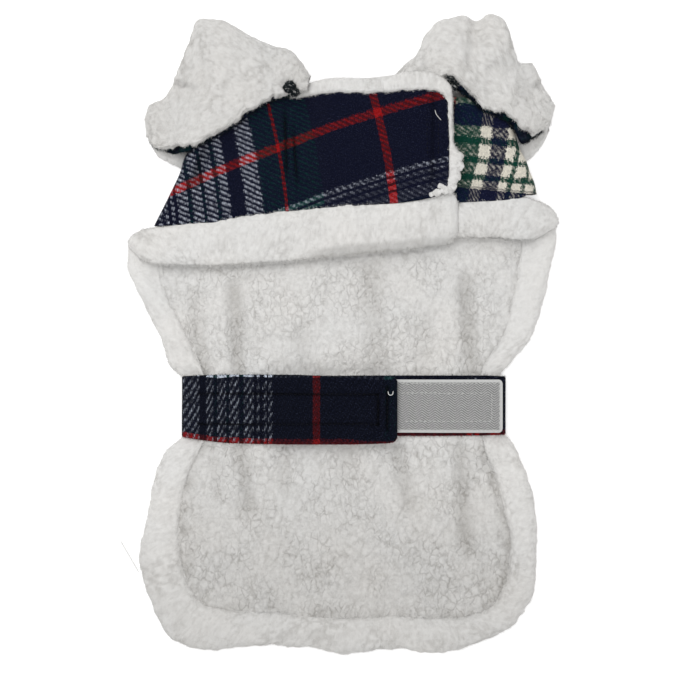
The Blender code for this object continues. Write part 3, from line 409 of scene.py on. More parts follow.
def tubeFaces(rings, around):
    # closed rings joined to the next ring, with a cap at each end
    ring, k = np.arange(rings - 1)[:, None] * around, np.arange(around)[None, :]
    after = (k + 1) % around
    quads = joined(ring + k, ring + after, ring + around + after, ring + around + k).reshape(-1, 4)
    last = (rings - 1) * around
    return quads.tolist() + [list(range(around))[::-1], list(range(last, last + around))]


def sheetFaces(rows, columns):
    # two equal grids, one over the other, and the wall between their rims
    count = rows * columns
    rim = gridRim(rows, columns)
    after = np.roll(rim, -1)
    wall = np.stack([after, rim, rim + count, after + count], axis=1)
    lower = gridFaces(rows, columns, count)[:, ::-1]
    return gridFaces(rows, columns).tolist() + lower.tolist() + wall.tolist()


def quiltFaces(rows, columns, step):
    # a fine upper grid, a lower grid of every step-th point, and the wall between their rims
    count = rows * columns
    lowRows, lowColumns = (rows - 1) // step + 1, (columns - 1) // step + 1
    rim, lowRim = gridRim(rows, columns), gridRim(lowRows, lowColumns) + count
    under = lowRim[(np.arange(len(rim)) + step // 2) // step % len(lowRim)]
    after, underAfter = np.roll(rim, -1), np.roll(under, -1)
    wall = np.stack([after, rim, under], axis=1)
    bridge = np.stack([under, underAfter, after], axis=1)[under != underAfter]
    lower = gridFaces(lowRows, lowColumns, count)[:, ::-1]
    return gridFaces(rows, columns).tolist() + lower.tolist() + wall.tolist() + bridge.tolist()


def unit(vectors):
    return vectors / np.maximum(np.linalg.norm(vectors, axis=-1, keepdims=True), 1e-9)


def twoFaces(x, y, top, bottom):
    # the upper and the lower grid of a sheet
    return np.stack([joined(x, y, top), joined(x, y, bottom)])


def outwardFrom(x0, y0, x1, y1, rise):
    # unit vectors from one line's points to another's, tilted up by a rise
    return unit(joined(x1 - x0, y1 - y0, rise * np.hypot(x1 - x0, y1 - y0)))


def gridNormals(points):
    # upward normals of a grid of points
    normal = unit(np.cross(np.gradient(points, axis=1), np.gradient(points, axis=0)))
    return normal * np.sign(normal[..., 2].mean() or 1.0)


def tubeNormals(points):
    # outward normals of closed rings
    around = np.roll(points, -1, axis=1) - np.roll(points, 1, axis=1)
    along = np.gradient(points, axis=0)
    normal = unit(np.cross(along, around))
    outward = ((points - points.mean(axis=1, keepdims=True)) * normal).sum(axis=-1)
    return normal * np.sign(np.median(outward))


def addPiece(name, points, faces, material, cloth=None, hollow=None):
    # a mesh object from points in millimetres; cloth is each point's place in the weave, hollow how much
    # painted shade its material puts there: in gaps of the pile, in creases, grooves and seams, and towards
    # the hem
    points = np.asarray(points).reshape(-1, 3)
    mesh = bpy.data.meshes.new(name)
    mesh.from_pydata((points * mm).tolist(), [], faces)
    mesh.calc_loop_triangles()
    corners = np.zeros(len(mesh.loop_triangles) * 3, np.int32)
    mesh.loop_triangles.foreach_get("vertices", corners)
    a, b, c = (points[corners.reshape(-1, 3)[:, k]] for k in range(3))
    if (a * np.cross(b, c)).sum() < 0:
        mesh.flip_normals()
    if cloth is not None:
        loops = np.zeros(len(mesh.loops), np.int32)
        mesh.loops.foreach_get("vertex_index", loops)
        layer = mesh.uv_layers.new(name="cloth")
        layer.data.foreach_set("uv", np.asarray(cloth).reshape(-1, 2)[loops].astype(np.float32).ravel())
    if hollow is not None:
        shade = mesh.attributes.new("hollow", "FLOAT", "POINT")
        shade.data.foreach_set("value", np.ravel(hollow).astype(np.float32))
    mesh.shade_smooth()
    mesh.materials.append(material)
    piece = bpy.data.objects.new(name, mesh)
    bpy.context.scene.collection.objects.link(piece)
    return piece


def wear(piece, node):
    # ties a finished piece to the frame
    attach(piece, "root")
    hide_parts(node)


def follow(part, piece):
    # a loose part moves with its piece
    part.parent = piece


class Value:
    # one shader socket; arithmetic on it adds Math nodes
    def __init__(self, shader, socket):
        self.shader, self.socket = shader, socket

    def math(self, operation, *others):
        inputs = dict(enumerate((self,) + others))
        return self.shader.node("ShaderNodeMath", {"operation": operation}, inputs)

    def swapped(self, operation, other):
        return self.shader.node("ShaderNodeMath", {"operation": operation}, {0: other, 1: self})

    def __add__(self, other):
        return self.math("ADD", other)

    def __sub__(self, other):
        return self.math("SUBTRACT", other)

    def __rsub__(self, other):
        return self.swapped("SUBTRACT", other)

    def __mul__(self, other):
        return self.math("MULTIPLY", other)

    def __truediv__(self, other):
        return self.math("DIVIDE", other)

    def clamp(self, low, high):
        return self.math("MAXIMUM", low).math("MINIMUM", high)

    __radd__ = __add__
    __rmul__ = __mul__


class Shader:
    # a material whose nodes are added by one method
    def __init__(self, name, roughness, sheen=0.0, gloss=0.12):
        self.material = bpy.data.materials.new(name)
        self.material.use_nodes = True
        self.tree = self.material.node_tree
        self.surface = self.tree.nodes["Principled BSDF"]
        self.surface.inputs["Roughness"].default_value = roughness
        self.surface.inputs["Sheen Weight"].default_value = sheen
        self.surface.inputs["Specular IOR Level"].default_value = gloss

    def node(self, kind, settings, inputs, output=0):
        made = self.tree.nodes.new(kind)
        for key, setting in settings.items():
            if key == "stops":
                self.fillRamp(made.color_ramp, setting)
            else:
                setattr(made, key, setting)
        for key, value in inputs.items():
            if isinstance(value, Value):
                self.tree.links.new(value.socket, made.inputs[key])
            else:
                made.inputs[key].default_value = value
        return Value(self, made.outputs[output])

    def fillRamp(self, ramp, stops):
        ramp.interpolation = "CONSTANT"
        while len(ramp.elements) < len(stops):
            ramp.elements.new(1.0)
        for element, (place, color) in zip(ramp.elements, stops):
            element.position = place
            element.color = (*color, 1.0)

    def feed(self, socket, value):
        self.tree.links.new(value.socket, self.surface.inputs[socket])

    def noise(self, place, scale, detail=2.0, distortion=0.0):
        return self.node("ShaderNodeTexNoise", {}, {"Vector": place, "Scale": scale, "Detail": detail,
                                                    "Distortion": distortion})

    def mix(self, factor, first, second, blend="MIX"):
        return self.node("ShaderNodeMix", {"data_type": "RGBA", "blend_type": blend},
                         {0: factor, 6: first, 7: second}, output=2)

    def bump(self, height, distance, strength):
        return self.node("ShaderNodeBump", {}, {"Height": height, "Distance": distance, "Strength": strength})

    def objectPlace(self):
        return self.node("ShaderNodeTexCoord", {}, {}, output=3)

    def attribute(self, name):
        return self.node("ShaderNodeAttribute", {"attribute_name": name}, {}, output=2)


def linear(*channels):
    # display colour (0 to 255) to scene colour
    return tuple(((c / 255 + 0.055) / 1.055) ** 2.4 if c > 10 else c / 255 / 12.92 for c in channels)


def color(*channels):
    return (*linear(*channels), 1.0)


# deep: the colour of the painted shade in the pile's gaps, lines and creases
sherpaColors = {"curl": (222, 221, 219), "deep": (132, 128, 122), "warm": (226, 222, 217),
                "cool": (217, 219, 220)}
sherpaFinish = {
    # pebble: width of a curl in mm; stretch: how much closer the curls lie along X, Y, Z; stray: how far the
    # lines between them wriggle; line: their half width as a share of a curl; lineDark, creaseDark, curlDark,
    # hollowDark: how much painted shade the lines, the finer creases, the sides of the curls and the gaps
    # get; smooth: how much of it has no lines; lift: how far curls and lines raise the light and shade
    "lining": {"pebble": 6.4, "stretch": (1.32, 0.78, 1.0), "stray": 7.5, "line": 0.12, "lineDark": 0.27,
               "creaseDark": 0.08, "curlDark": 0.34, "hollowDark": 0.5, "smooth": 0.4, "lift": 0.95},
    "trim": {"pebble": 7.0, "stretch": (1.0, 0.9, 1.0), "stray": 7.0, "line": 0.1, "lineDark": 0.12,
             "creaseDark": 0.03, "curlDark": 0.22, "hollowDark": 0.44, "smooth": 0.52, "lift": 0.4},
}
# noises of the pile, in swells a metre
pileGrain = {"wriggle": 180.0, "patches": 34.0, "broken": 200.0, "curls": 380.0, "swing": 300.0,
             "fibres": 1500.0, "drift": 22.0}


def sherpaMaterial(name, look):
    # off-white pile: rounded curls parted by wriggling lines, which are the edges of scattered cells, and
    # finer creases where a distorted noise crosses its middle value; slow warm and cool drifts; painted shade
    # in the lines, the creases, the curls' low sides and wherever the hollow attribute says; lines and curls
    # also raise it
    shader = Shader(name, roughness=0.95, sheen=0.15)
    place = shader.objectPlace()
    astray = shader.node("ShaderNodeTexNoise", {},
                         {"Vector": place, "Scale": pileGrain["wriggle"], "Detail": 2.0}, output=1)
    wriggled = shader.node("ShaderNodeVectorMath", {"operation": "MULTIPLY_ADD"},
                           {0: astray, 1: (look["stray"] * mm,) * 3, 2: place})
    stretched = shader.node("ShaderNodeVectorMath", {"operation": "MULTIPLY"},
                            {0: wriggled, 1: look["stretch"]})
    edge = shader.node("ShaderNodeTexVoronoi", {"feature": "DISTANCE_TO_EDGE"},
                       {"Vector": stretched, "Scale": 1000.0 / look["pebble"]})
    patches = ((shader.noise(place, pileGrain["patches"], 1.0) - look["smooth"]) * 7.0).clamp(0.2, 1.0)
    broken = ((shader.noise(place, pileGrain["broken"], 1.0) - 0.36) * 5.0).clamp(0.1, 1.0)
    line = (1.0 - edge / look["line"]).clamp(0.0, 1.0) * patches * broken
    curls = shader.noise(place, pileGrain["curls"], 3.0, 0.9)
    swing = shader.noise(wriggled, pileGrain["swing"], 1.0, 1.2)
    crease = (1.0 - (swing - 0.5).math("ABSOLUTE") / 0.03).clamp(0.0, 1.0) * (1.3 - broken)
    fibres = shader.noise(place, pileGrain["fibres"], 2.0, 0.6)
    drift = shader.noise(place, pileGrain["drift"])
    tint = shader.mix(drift, color(*sherpaColors["cool"]), color(*sherpaColors["warm"]))
    body = shader.mix(0.5, tint, color(*sherpaColors["curl"]))
    hollow = shader.attribute("hollow")
    # painted shade: lines, creases, the hollow attribute and the curls' low sides pull the pile towards the
    # deep colour
    dark = (line * look["lineDark"] + crease * look["creaseDark"] + hollow * look["hollowDark"]
            + (0.6 - curls).clamp(0.0, 1.0) * look["curlDark"])
    shader.feed("Base Color", shader.mix(dark.clamp(0.0, 1.0), body, color(*sherpaColors["deep"])))
    dome = (edge / 0.4).clamp(0.0, 1.0).math("POWER", 0.6)
    height = curls * 0.45 + fibres * 0.25 + dome * patches * 0.45 - crease * 0.1
    shader.feed("Normal", shader.bump(height, 0.0012, look["lift"]))
    return shader.material


# the check, as lengths of yarn from the start of its red line; the same in both directions
sett = [
    ("red", 4.9), ("navy", 45.5), ("green", 25.3), ("red", 2.8), ("green", 15.4), ("white", 11.6),
    ("navy", 10.6), ("white", 6.6), ("green", 3.1), ("white", 6.7), ("green", 3.1), ("white", 6.7),
    ("green", 3.1), ("white", 7.2), ("navy", 2.5), ("white", 2.5), ("navy", 2.2), ("white", 2.5),
    ("navy", 2.2), ("white", 2.5), ("navy", 38.5),
]
settLength = sum(length for _, length in sett)
redHalf = sett[0][1] / 2        # the cloth's coordinates are 0 in the middle of this red line

plaidLooks = {
    # pitch: distance between warp yarns and between picks; slant: which way the twill runs; haze: how
    # much of the darker yarn's nap covers the lighter; the fourth: where in the check more of it begins,
    # over what length it grows and how much, a painted shade towards the plaid's edges that run under the
    # sherpa; greenNap: how much more of it over green warps; pulled: how far the yarns sway off their
    # lines, in mm; frayed: how far, in yarns, a colour strays over the next; sunk: how much painted shade
    # darkens the weft, which lies below the warp; soft: how sharp a yarn's outline is; furrow: how dark the
    # painted shade in the gaps between the floats is; bleed: how much red shows through where a red yarn
    # lies below; then the colours of the yarns
    "flap": {"pitch": (1.12, 0.92), "slant": -1.0, "haze": 0.56, "edgeShade": (-36.0, 14.0, 0.55),
             "greenNap": 0.04, "pulled": 1.5, "frayed": 2.2, "sunk": 0.25, "soft": 0.6, "furrow": 0.35,
             "bleed": 0.14, "white": (202, 208, 222), "navy": (11, 14, 33), "green": (8, 51, 48), "red":
             (146, 19, 19)},
    "rightFlap": {"pitch": (0.92, 0.78), "slant": -1.0, "haze": 0.76, "edgeShade": (-44.0, 9.0, 0.0),
                  "greenNap": 0.06, "pulled": 2.4, "frayed": 5.0, "sunk": 0.1, "soft": 0.45, "furrow":
                  0.15, "bleed": 0.1, "white": (214, 209, 196), "navy": (15, 18, 42), "green": (9, 54,
                  42), "red": (104, 20, 20)},
    "belt": {"pitch": (1.05, 1.6), "slant": 1.0, "haze": 0.82, "edgeShade": (-36.0, 3.0, 0.3), "greenNap":
             0.0, "pulled": 1.4, "frayed": 0.9, "sunk": 0.6, "soft": 0.8, "furrow": 0.75, "bleed": 0.2,
             "white": (186, 194, 208), "navy": (9, 12, 25), "green": (8, 42, 44), "red": (122, 17, 17)},
}
# noises of the cloth, in swells a millimetre
clothGrain = {"sway": 0.22, "warpAstray": 0.8, "weftAstray": 0.9, "rough": 1.7, "nap": 0.45, "fineShade": 1.8,
              "wideShade": 0.5, "lint": 1.4}
lintColor = (120, 128, 160)


def settStops(look):
    place, stops = 0.0, []
    for yarn, length in sett:
        stops.append((place / settLength, linear(*look[yarn])))
        place += length
    return stops


def plaidMaterial(name, look):
    # two-and-two twill: each warp yarn floats over two picks as an ellipse, one pick on from its neighbour's;
    # warp and weft take their colours from the check by yarn number, and the darker yarn's nap hazes over the
    # lighter
    shader = Shader(name, roughness=0.95, sheen=0.02, gloss=0.05)
    place = shader.node("ShaderNodeUVMap", {"uv_map": "cloth"}, {})
    far = look["pulled"]
    sway = shader.node("ShaderNodeTexNoise", {},
                       {"Vector": place, "Scale": clothGrain["sway"], "Detail": 1.5}, output=1)
    centred = shader.node("ShaderNodeVectorMath", {"operation": "SUBTRACT"}, {0: sway, 1: (0.5, 0.5, 0.0)})
    pulled = shader.node("ShaderNodeVectorMath", {"operation": "MULTIPLY_ADD"},
                         {0: centred, 1: (far, far, 0.0), 2: place})
    parts = shader.node("ShaderNodeSeparateXYZ", {}, {0: pulled})
    warpPitch, weftPitch = look["pitch"]
    warpPlace = Value(shader, parts.socket.node.outputs[0]) / warpPitch - 0.5
    weftPlace = Value(shader, parts.socket.node.outputs[1]) / weftPitch - 0.5
    warpYarn, weftYarn = warpPlace.math("FLOOR"), weftPlace.math("FLOOR")
    stops = {"stops": settStops(look)}

    def yarnColor(yarn, pitch, scale):
        astray = (shader.noise(place, scale, 2.0) - 0.5) * look["frayed"]
        share = ((yarn + astray + 0.5 + redHalf / pitch) * (pitch / settLength)).math("FRACT")
        return shader.node("ShaderNodeValToRGB", stops, {0: share})

    def excess(yarn, channel, other, steep, start):
        # how far one channel of a yarn's colour is over another
        split = shader.node("ShaderNodeSeparateColor", {}, {0: yarn}).socket.node.outputs
        return ((Value(shader, split[channel]) - Value(shader, split[other])) * steep - start).clamp(0.0, 1.0)

    across = (warpPlace.math("FRACT") - 0.5) * 2.0
    lengthwise = (((warpYarn + weftPlace * look["slant"]) * 0.25).math("FRACT") - 0.25) * 3.6
    away = across * across * 0.6 + lengthwise * lengthwise
    rough = shader.noise(place, clothGrain["rough"], 3.0)
    onTop = ((0.95 - away) * look["soft"] + 0.5 - (rough - 0.5) * 2.6).clamp(0.0, 1.0)
    warpColor = yarnColor(warpYarn, warpPitch, clothGrain["warpAstray"])
    weftColor = yarnColor(weftYarn, weftPitch, clothGrain["weftAstray"])
    red = [excess(yarn, 0, 1, 8.0, 0.5) for yarn in (warpColor, weftColor)]
    green = excess(warpColor, 1, 0, 60.0, 0.4)
    # painted shade: the weft, lying below the warp, is darkened
    sunken = shader.mix(look["sunk"], weftColor, color(0, 0, 0))
    weave = shader.mix(onTop, sunken, warpColor)
    darker = shader.mix(1.0, weftColor, warpColor, "DARKEN")
    nap = shader.noise(place, clothGrain["nap"], 4.0)
    # painted shade: more of the darker nap towards the belt's upper edge and the left flap's lower edge,
    # where they run under the sherpa
    shadeFrom, shadeOver, shadeFar = look["edgeShade"]
    edgeShade = ((shadeFrom - weftPlace * weftPitch) / shadeOver).clamp(0.0, 1.0) * shadeFar
    haze = (nap - 0.5) * 2.2 + look["haze"] + edgeShade + green * look["greenNap"]
    napped = shader.mix(haze.clamp(0.0, 0.95), weave, darker)
    bleed = red[0].math("MAXIMUM", red[1]) * look["bleed"]
    dyed = shader.mix(bleed, napped, color(*look["red"]))
    # painted shade in the furrows between the floats; the fine and wide noises are the nap's own uneven tone
    furrow = (away - 0.75).math("ABSOLUTE").math("MINIMUM", 0.6)
    deep = furrow * (look["furrow"] / 0.6) + (1.0 - look["furrow"])
    fine = shader.noise(place, clothGrain["fineShade"], 2.0)
    wide = shader.noise(place, clothGrain["wideShade"], 2.0)
    shade = deep * (0.36 + fine * 0.6 + wide * 0.75)
    # painted shade in the sewn grooves and puckers, from the hollow attribute
    shade = shade * (1.0 - shader.attribute("hollow") * 0.85)
    dark = shader.node("ShaderNodeCombineXYZ", {}, {0: shade, 1: shade, 2: shade})
    lint = ((shader.noise(place, clothGrain["lint"], 3.0) - 0.54) * 0.8).clamp(0.0, 0.08)
    linty = shader.mix(lint, dyed, color(*lintColor))
    shader.feed("Base Color", shader.mix(1.0, linty, dark, "MULTIPLY"))
    shader.feed("Normal", shader.bump(furrow * 0.8 + rough * 0.9, 0.0007, 0.7))
    return shader.material


def tapeMaterial(name, base, dark, gloss):
    # nylon tape: fine grain, with painted shade between its rows where the hollow attribute says
    shader = Shader(name, roughness=gloss)
    place = shader.objectPlace()
    grain = shader.noise(place, 900.0, 2.0)
    hollow = shader.attribute("hollow")
    shader.feed("Base Color", shader.mix(hollow * 0.8 + grain * 0.2, color(*base), color(*dark)))
    shader.feed("Normal", shader.bump(grain, 0.0004, 0.5))
    return shader.material


def threadMaterial(name, tone):
    # thread or nap of one colour, a little darker where a fine noise twists it
    shader = Shader(name, roughness=0.6)
    place = shader.objectPlace()
    twist = shader.noise(place, 1800.0, 1.0)
    darker = color(*(channel * 0.6 for channel in tone))
    shader.feed("Base Color", shader.mix(twist * 0.4, color(*tone), darker))
    return shader.material


print("coat: materials")
liningSherpa = sherpaMaterial("lining sherpa", sherpaFinish["lining"])
trimSherpa = sherpaMaterial("trim sherpa", sherpaFinish["trim"])
flapPlaid = plaidMaterial("flap plaid", plaidLooks["flap"])
rightFlapPlaid = plaidMaterial("right flap plaid", plaidLooks["rightFlap"])
beltPlaid = plaidMaterial("belt plaid", plaidLooks["belt"])
hookTape = tapeMaterial("hook tape", (202, 202, 201), (84, 84, 84), 0.45)
loopTape = tapeMaterial("loop tape", (28, 27, 38), (10, 10, 14), 0.8)
darkThread = threadMaterial("dark thread", (10, 10, 15))
greyThread = threadMaterial("grey thread", (214, 214, 212))
whiteThread = threadMaterial("white thread", (238, 238, 236))
darkNap = threadMaterial("dark nap", (14, 22, 26))
beltRedNap = threadMaterial("dark red nap", (146, 24, 22))


lining = {"columns": 281, "hemStep": 0.92, "hiddenStep": 5.0, "lowerStep": 5, "edgeDip": 0.5,
          "edgeWidth": 9.0, "underBorder": 3.2, "underFold": 3.0, "thinnest": 0.8, "seamShade": 0.62,
          "seamWidth": 4.8, "ragged": 1.8, "foldShade": 0.17, "lowShade": 0.46, "gaps": 0.7}
# heights at which the back's rows change and its folds begin, and the power that keeps the hem's and the
# neckline's bends near them
backRows = {"hem": -192.0, "belowBelt": -74.0, "aboveBelt": -30.0, "chest": 64.0, "neck": 158.0,
            "leftFold": 80.0, "rightFold": 96.0, "bend": 10}
backCheck = (24.0, 61.0)        # the check's shift on the back shell

# long soft folds that the belt gathers: x and y of the top end, x and y of the low end, half width, depth
liningFolds = [
    (-76.0, 30.0, -73.0, -24.0, 5.6, 3.8), (-104.0, 20.0, -97.0, -22.0, 5.0, 2.2),
    (20.0, 44.0, 24.0, -24.0, 8.0, 2.2), (86.0, 36.0, 90.0, -24.0, 6.0, 3.8),
    (-30.0, -2.0, -26.0, -26.0, 8.0, 1.4), (58.0, 8.0, 56.0, -26.0, 7.0, 1.6),
    (-73.0, -76.0, -66.0, -118.0, 5.4, 3.0), (-42.0, -76.0, -41.0, -104.0, 5.0, 1.8),
    (37.0, -76.0, 46.0, -116.0, 6.0, 2.6), (82.0, -76.0, 86.0, -146.0, 5.6, 3.0),
    (4.0, -76.0, 3.0, -96.0, 7.0, 1.3), (-92.0, -78.0, -88.0, -108.0, 4.0, 1.2),
    (-62.0, 10.0, -60.0, -24.0, 7.0, -1.0), (-88.0, 18.0, -86.0, -24.0, 6.0, -0.9),
    (-56.0, -78.0, -53.0, -110.0, 7.0, -1.0), (66.0, -78.0, 68.0, -120.0, 7.0, -0.9),
]
foldFade = 15.0     # length over which a fold dies away


def foldDepth(x, y, folds):
    # each fold is a trough with a bell-shaped section that dies away at its ends
    depth = np.zeros(np.broadcast(x, y).shape)
    for xTop, yTop, xLow, yLow, halfWidth, deep in folds:
        middle = xTop + (xLow - xTop) * (yTop - y) / (yTop - yLow)
        inside = ease(yTop + foldFade, yTop, y) * ease(yLow - foldFade, yLow, y)
        depth = depth + deep * inside * np.exp(-((x - middle) / halfWidth) ** 2)
    return depth


def seamPoints(first, last, under):
    # inner edge of the body border between two rows of its table, a little under it
    table = np.array(bodyBorder)
    length = middleLength(table)
    where = np.linspace(first, last, (last - first) * 6 + 1)
    rows, _ = travel(bodyBorder, np.interp(where, np.arange(len(table)), length) / length[-1])
    inward = rows[:, 2:4] - rows[:, 0:2]
    return rows[:, 2:4] - inward / np.linalg.norm(inward, axis=1)[:, None] * under


def foldEdge(fold, offset, low):
    # the fold's points above a height, moved in by an offset
    heights = np.array([point[1] for point in fold if point[1] > low])
    x = lineReach(fold, heights)
    return joined(x - np.sign(x) * offset, heights)


def backGrid(foldOffset, columns, heights, under):
    # points of the back, rows from the hem to the neckline; hem and neckline bend only the rows near them
    left = np.concatenate([seamPoints(0, hemLeftCorner, under)[::-1],
                           foldEdge(leftFold, foldOffset, backRows["leftFold"])])
    right = np.concatenate([seamPoints(hemRightCorner, len(bodyBorder) - 1, under),
                            foldEdge(rightFold, foldOffset, backRows["rightFold"])])
    hem = seamPoints(hemLeftCorner, hemRightCorner, under)
    share = (heights - heights[0]) / (heights[-1] - heights[0])
    leftY = hem[0, 1] + (backRows["neck"] - hem[0, 1]) * share
    rightY = hem[-1, 1] + (backRows["neck"] - hem[-1, 1]) * share
    west = joined(curve(leftY, left[:, 1], left[:, 0]), leftY)
    east = joined(curve(rightY, right[:, 1], right[:, 0]), rightY)
    across = np.linspace(0.0, 1.0, columns)
    corner = 7.0 * ease(0.95, 1.0, share)       # how far the top corners are cut off
    west[:, 0] += corner
    east[:, 0] -= corner
    neckX = west[-1, 0] + (east[-1, 0] - west[-1, 0]) * across
    north = joined(neckX, lineHeight(neckline, neckX) - 2.0)
    hemLength = summed(np.hypot(*np.diff(hem, axis=0).T))
    south = joined(*(np.interp(across * hemLength[-1], hemLength, column) for column in hem.T))
    u, v = across[None, :, None], share[:, None, None]
    between = west[:, None, :] * (1 - u) + east[:, None, :] * u
    southBend = south - (south[0] * (1 - across[:, None]) + south[-1] * across[:, None])
    northBend = north - (north[0] * (1 - across[:, None]) + north[-1] * across[:, None])
    bend = backRows["bend"]
    points = between + (1 - v) ** bend * southBend[None] + v**bend * northBend[None]
    return points[..., 0], points[..., 1]


def steppedHeights(stretches):
    # heights from stretches of (start, end, step), joined end to end
    parts = [np.linspace(start, end, max(2, round((end - start) / step) + 1))[:-1]
             for start, end, step in stretches]
    return np.concatenate(parts + [[stretches[-1][1]]])


def trimmed(heights, step):
    # drops rows from the last stretch until the count suits a lower grid of every step-th point
    spare = (len(heights) - 1) % step
    return np.delete(heights, np.arange(len(heights) - 1 - spare, len(heights) - 1)) if spare else heights


def buildBack():
    buildBackShell()
    buildLining()


def buildBackShell():
    # plaid under the lining, which only its edges show
    x, y = backGrid(foldSeam + gap, 91, steppedHeights([(backRows["hem"], backRows["neck"], 3.0)]), 0.9)
    bottom = groundAt(x, y)
    points = twoFaces(x, y, bottom + layers["shell"], bottom)
    cloth = joined(x + backCheck[0], y + backCheck[1])
    shell = addPiece("back_shell_plaid", points, sheetFaces(*x.shape), flapPlaid, np.stack([cloth, cloth]))
    wear(shell, "back_shell")


def liningRows(step):
    # fine rows where the lining shows, wide ones under the belt and the flaps
    fine, wide = lining["hemStep"], lining["hiddenStep"]
    return trimmed(steppedHeights([
        (backRows["hem"], backRows["belowBelt"], fine), (backRows["belowBelt"], backRows["aboveBelt"], wide),
        (backRows["aboveBelt"], backRows["chest"], fine), (backRows["chest"], backRows["neck"], wide),
    ]), step)


def buildLining():
    # the pile's height, less the folds and a dip along the edges, over a flat lower grid; shade is
    # deepest beside the border, in the folds and towards the hem
    step = lining["lowerStep"]
    x, y = backGrid(foldReach + lining["underFold"], lining["columns"], liningRows(step),
                    lining["underBorder"])
    flat = joined(x, y, liningTop(x, y))
    toEdge = np.linalg.norm(flat - flat[:, :1], axis=-1)
    for edge in (flat[:, -1:], flat[:1]):
        toEdge = np.minimum(toEdge, np.linalg.norm(flat - edge, axis=-1))
    dip = lining["edgeDip"] * (1.0 - np.clip(toEdge / lining["edgeWidth"], 0.0, 1.0)) ** 2
    free = 1.0 - ease(-26.0, -31.0, y) * ease(-79.0, -74.0, y)      # 0 under the belt
    free = free * (1.0 - ease(58.0, 68.0, y))       # and under the flaps
    folds = foldDepth(x, y, liningFolds)
    high, hollow = pile(flat, sherpaLooks["lining"], seed=3)
    flat[..., 2] += free * (high - 0.3) - folds * free - dip
    flat[..., 2] = np.maximum(flat[..., 2], liningBottom(x, y) + lining["thinnest"])
    low = joined(x, y, liningBottom(x, y))[::step, ::step]
    points = np.concatenate([flat.reshape(-1, 3), low.reshape(-1, 3)])
    ragged = toEdge + lining["ragged"] * swirls(flat, 4.0, 8)
    seam = lining["seamShade"] * np.exp(-((ragged - lining["underBorder"] - 0.6) / lining["seamWidth"]) ** 2)
    seam = seam * (0.65 + 0.9 * swirls(flat, 11.0, 9)) * (1.0 - 0.55 * ease(-165.0, -190.0, y))
    seam = seam * (1.0 - 0.7 * ease(-60.0, 0.0, y)) + lining["lowShade"] * ease(-50.0, -190.0, y)
    folded = lining["foldShade"] * np.maximum(folds, 0.0)
    shade = np.clip((hollow * lining["gaps"] + folded) * free + seam, 0, 1)
    shade = np.concatenate([np.ravel(shade), np.zeros(low.shape[0] * low.shape[1])])
    piece = addPiece("lining_sherpa", points, quiltFaces(*x.shape, step), liningSherpa, hollow=shade)
    wear(piece, "back_lining")
    addFuzz("lining_pile_ends", piece, (flat, gridNormals(flat)), "lining", liningSherpa, 101)


rollShape = {
    # squareness: power of the ring's cosine and sine; flattened: share of its height cut off below;
    # innerSlope and outerSlope: powers that round its inner side; uneven: length of its swells; scallop:
    # how far its outer edge waves, and sides: what share of that along the sides; the last three: painted
    # shade at a lapped roll's foot, painted shade towards the hem, and how much of the painted shade is
    # taken off above the belt, which paints it lighter there
    "step": 1.0, "squareness": 0.82, "topPoints": 34, "lowPoints": 7, "flattened": 0.12, "innerSlope": 1.7,
    "outerSlope": 0.8, "uneven": 19.0, "scallop": 1.0, "sides": 0.35, "cutWidth": 1.5, "lowShade": 0.12,
    "hemShade": 0.42, "shadeLifted": 0.55,
}


def rollRing(lap):
    # shares across and up of the ring's points; with a lap its inner side slopes down to its foot
    turn = np.concatenate([np.linspace(-0.12, 1.12, rollShape["topPoints"]),
                           np.linspace(1.12, 1.88, rollShape["lowPoints"] + 2)[1:-1]]) * np.pi
    cos, sin = np.cos(turn), np.sin(turn)
    across = 0.5 - 0.5 * np.sign(cos) * np.abs(cos) ** rollShape["squareness"]
    up = 0.5 + 0.5 * np.sign(sin) * np.abs(sin) ** rollShape["squareness"]
    up = np.maximum(up - rollShape["flattened"], 0.0) / (1.0 - rollShape["flattened"])
    if lap:
        foot = up[np.argmin(np.abs(turn))]      # height of the ring's innermost point
        inner = (np.maximum(up - foot, 0.0) / (1.0 - foot)) ** rollShape["innerSlope"]
    else:
        inner = up ** rollShape["outerSlope"]
    return across, np.where(cos > 0, inner, up)


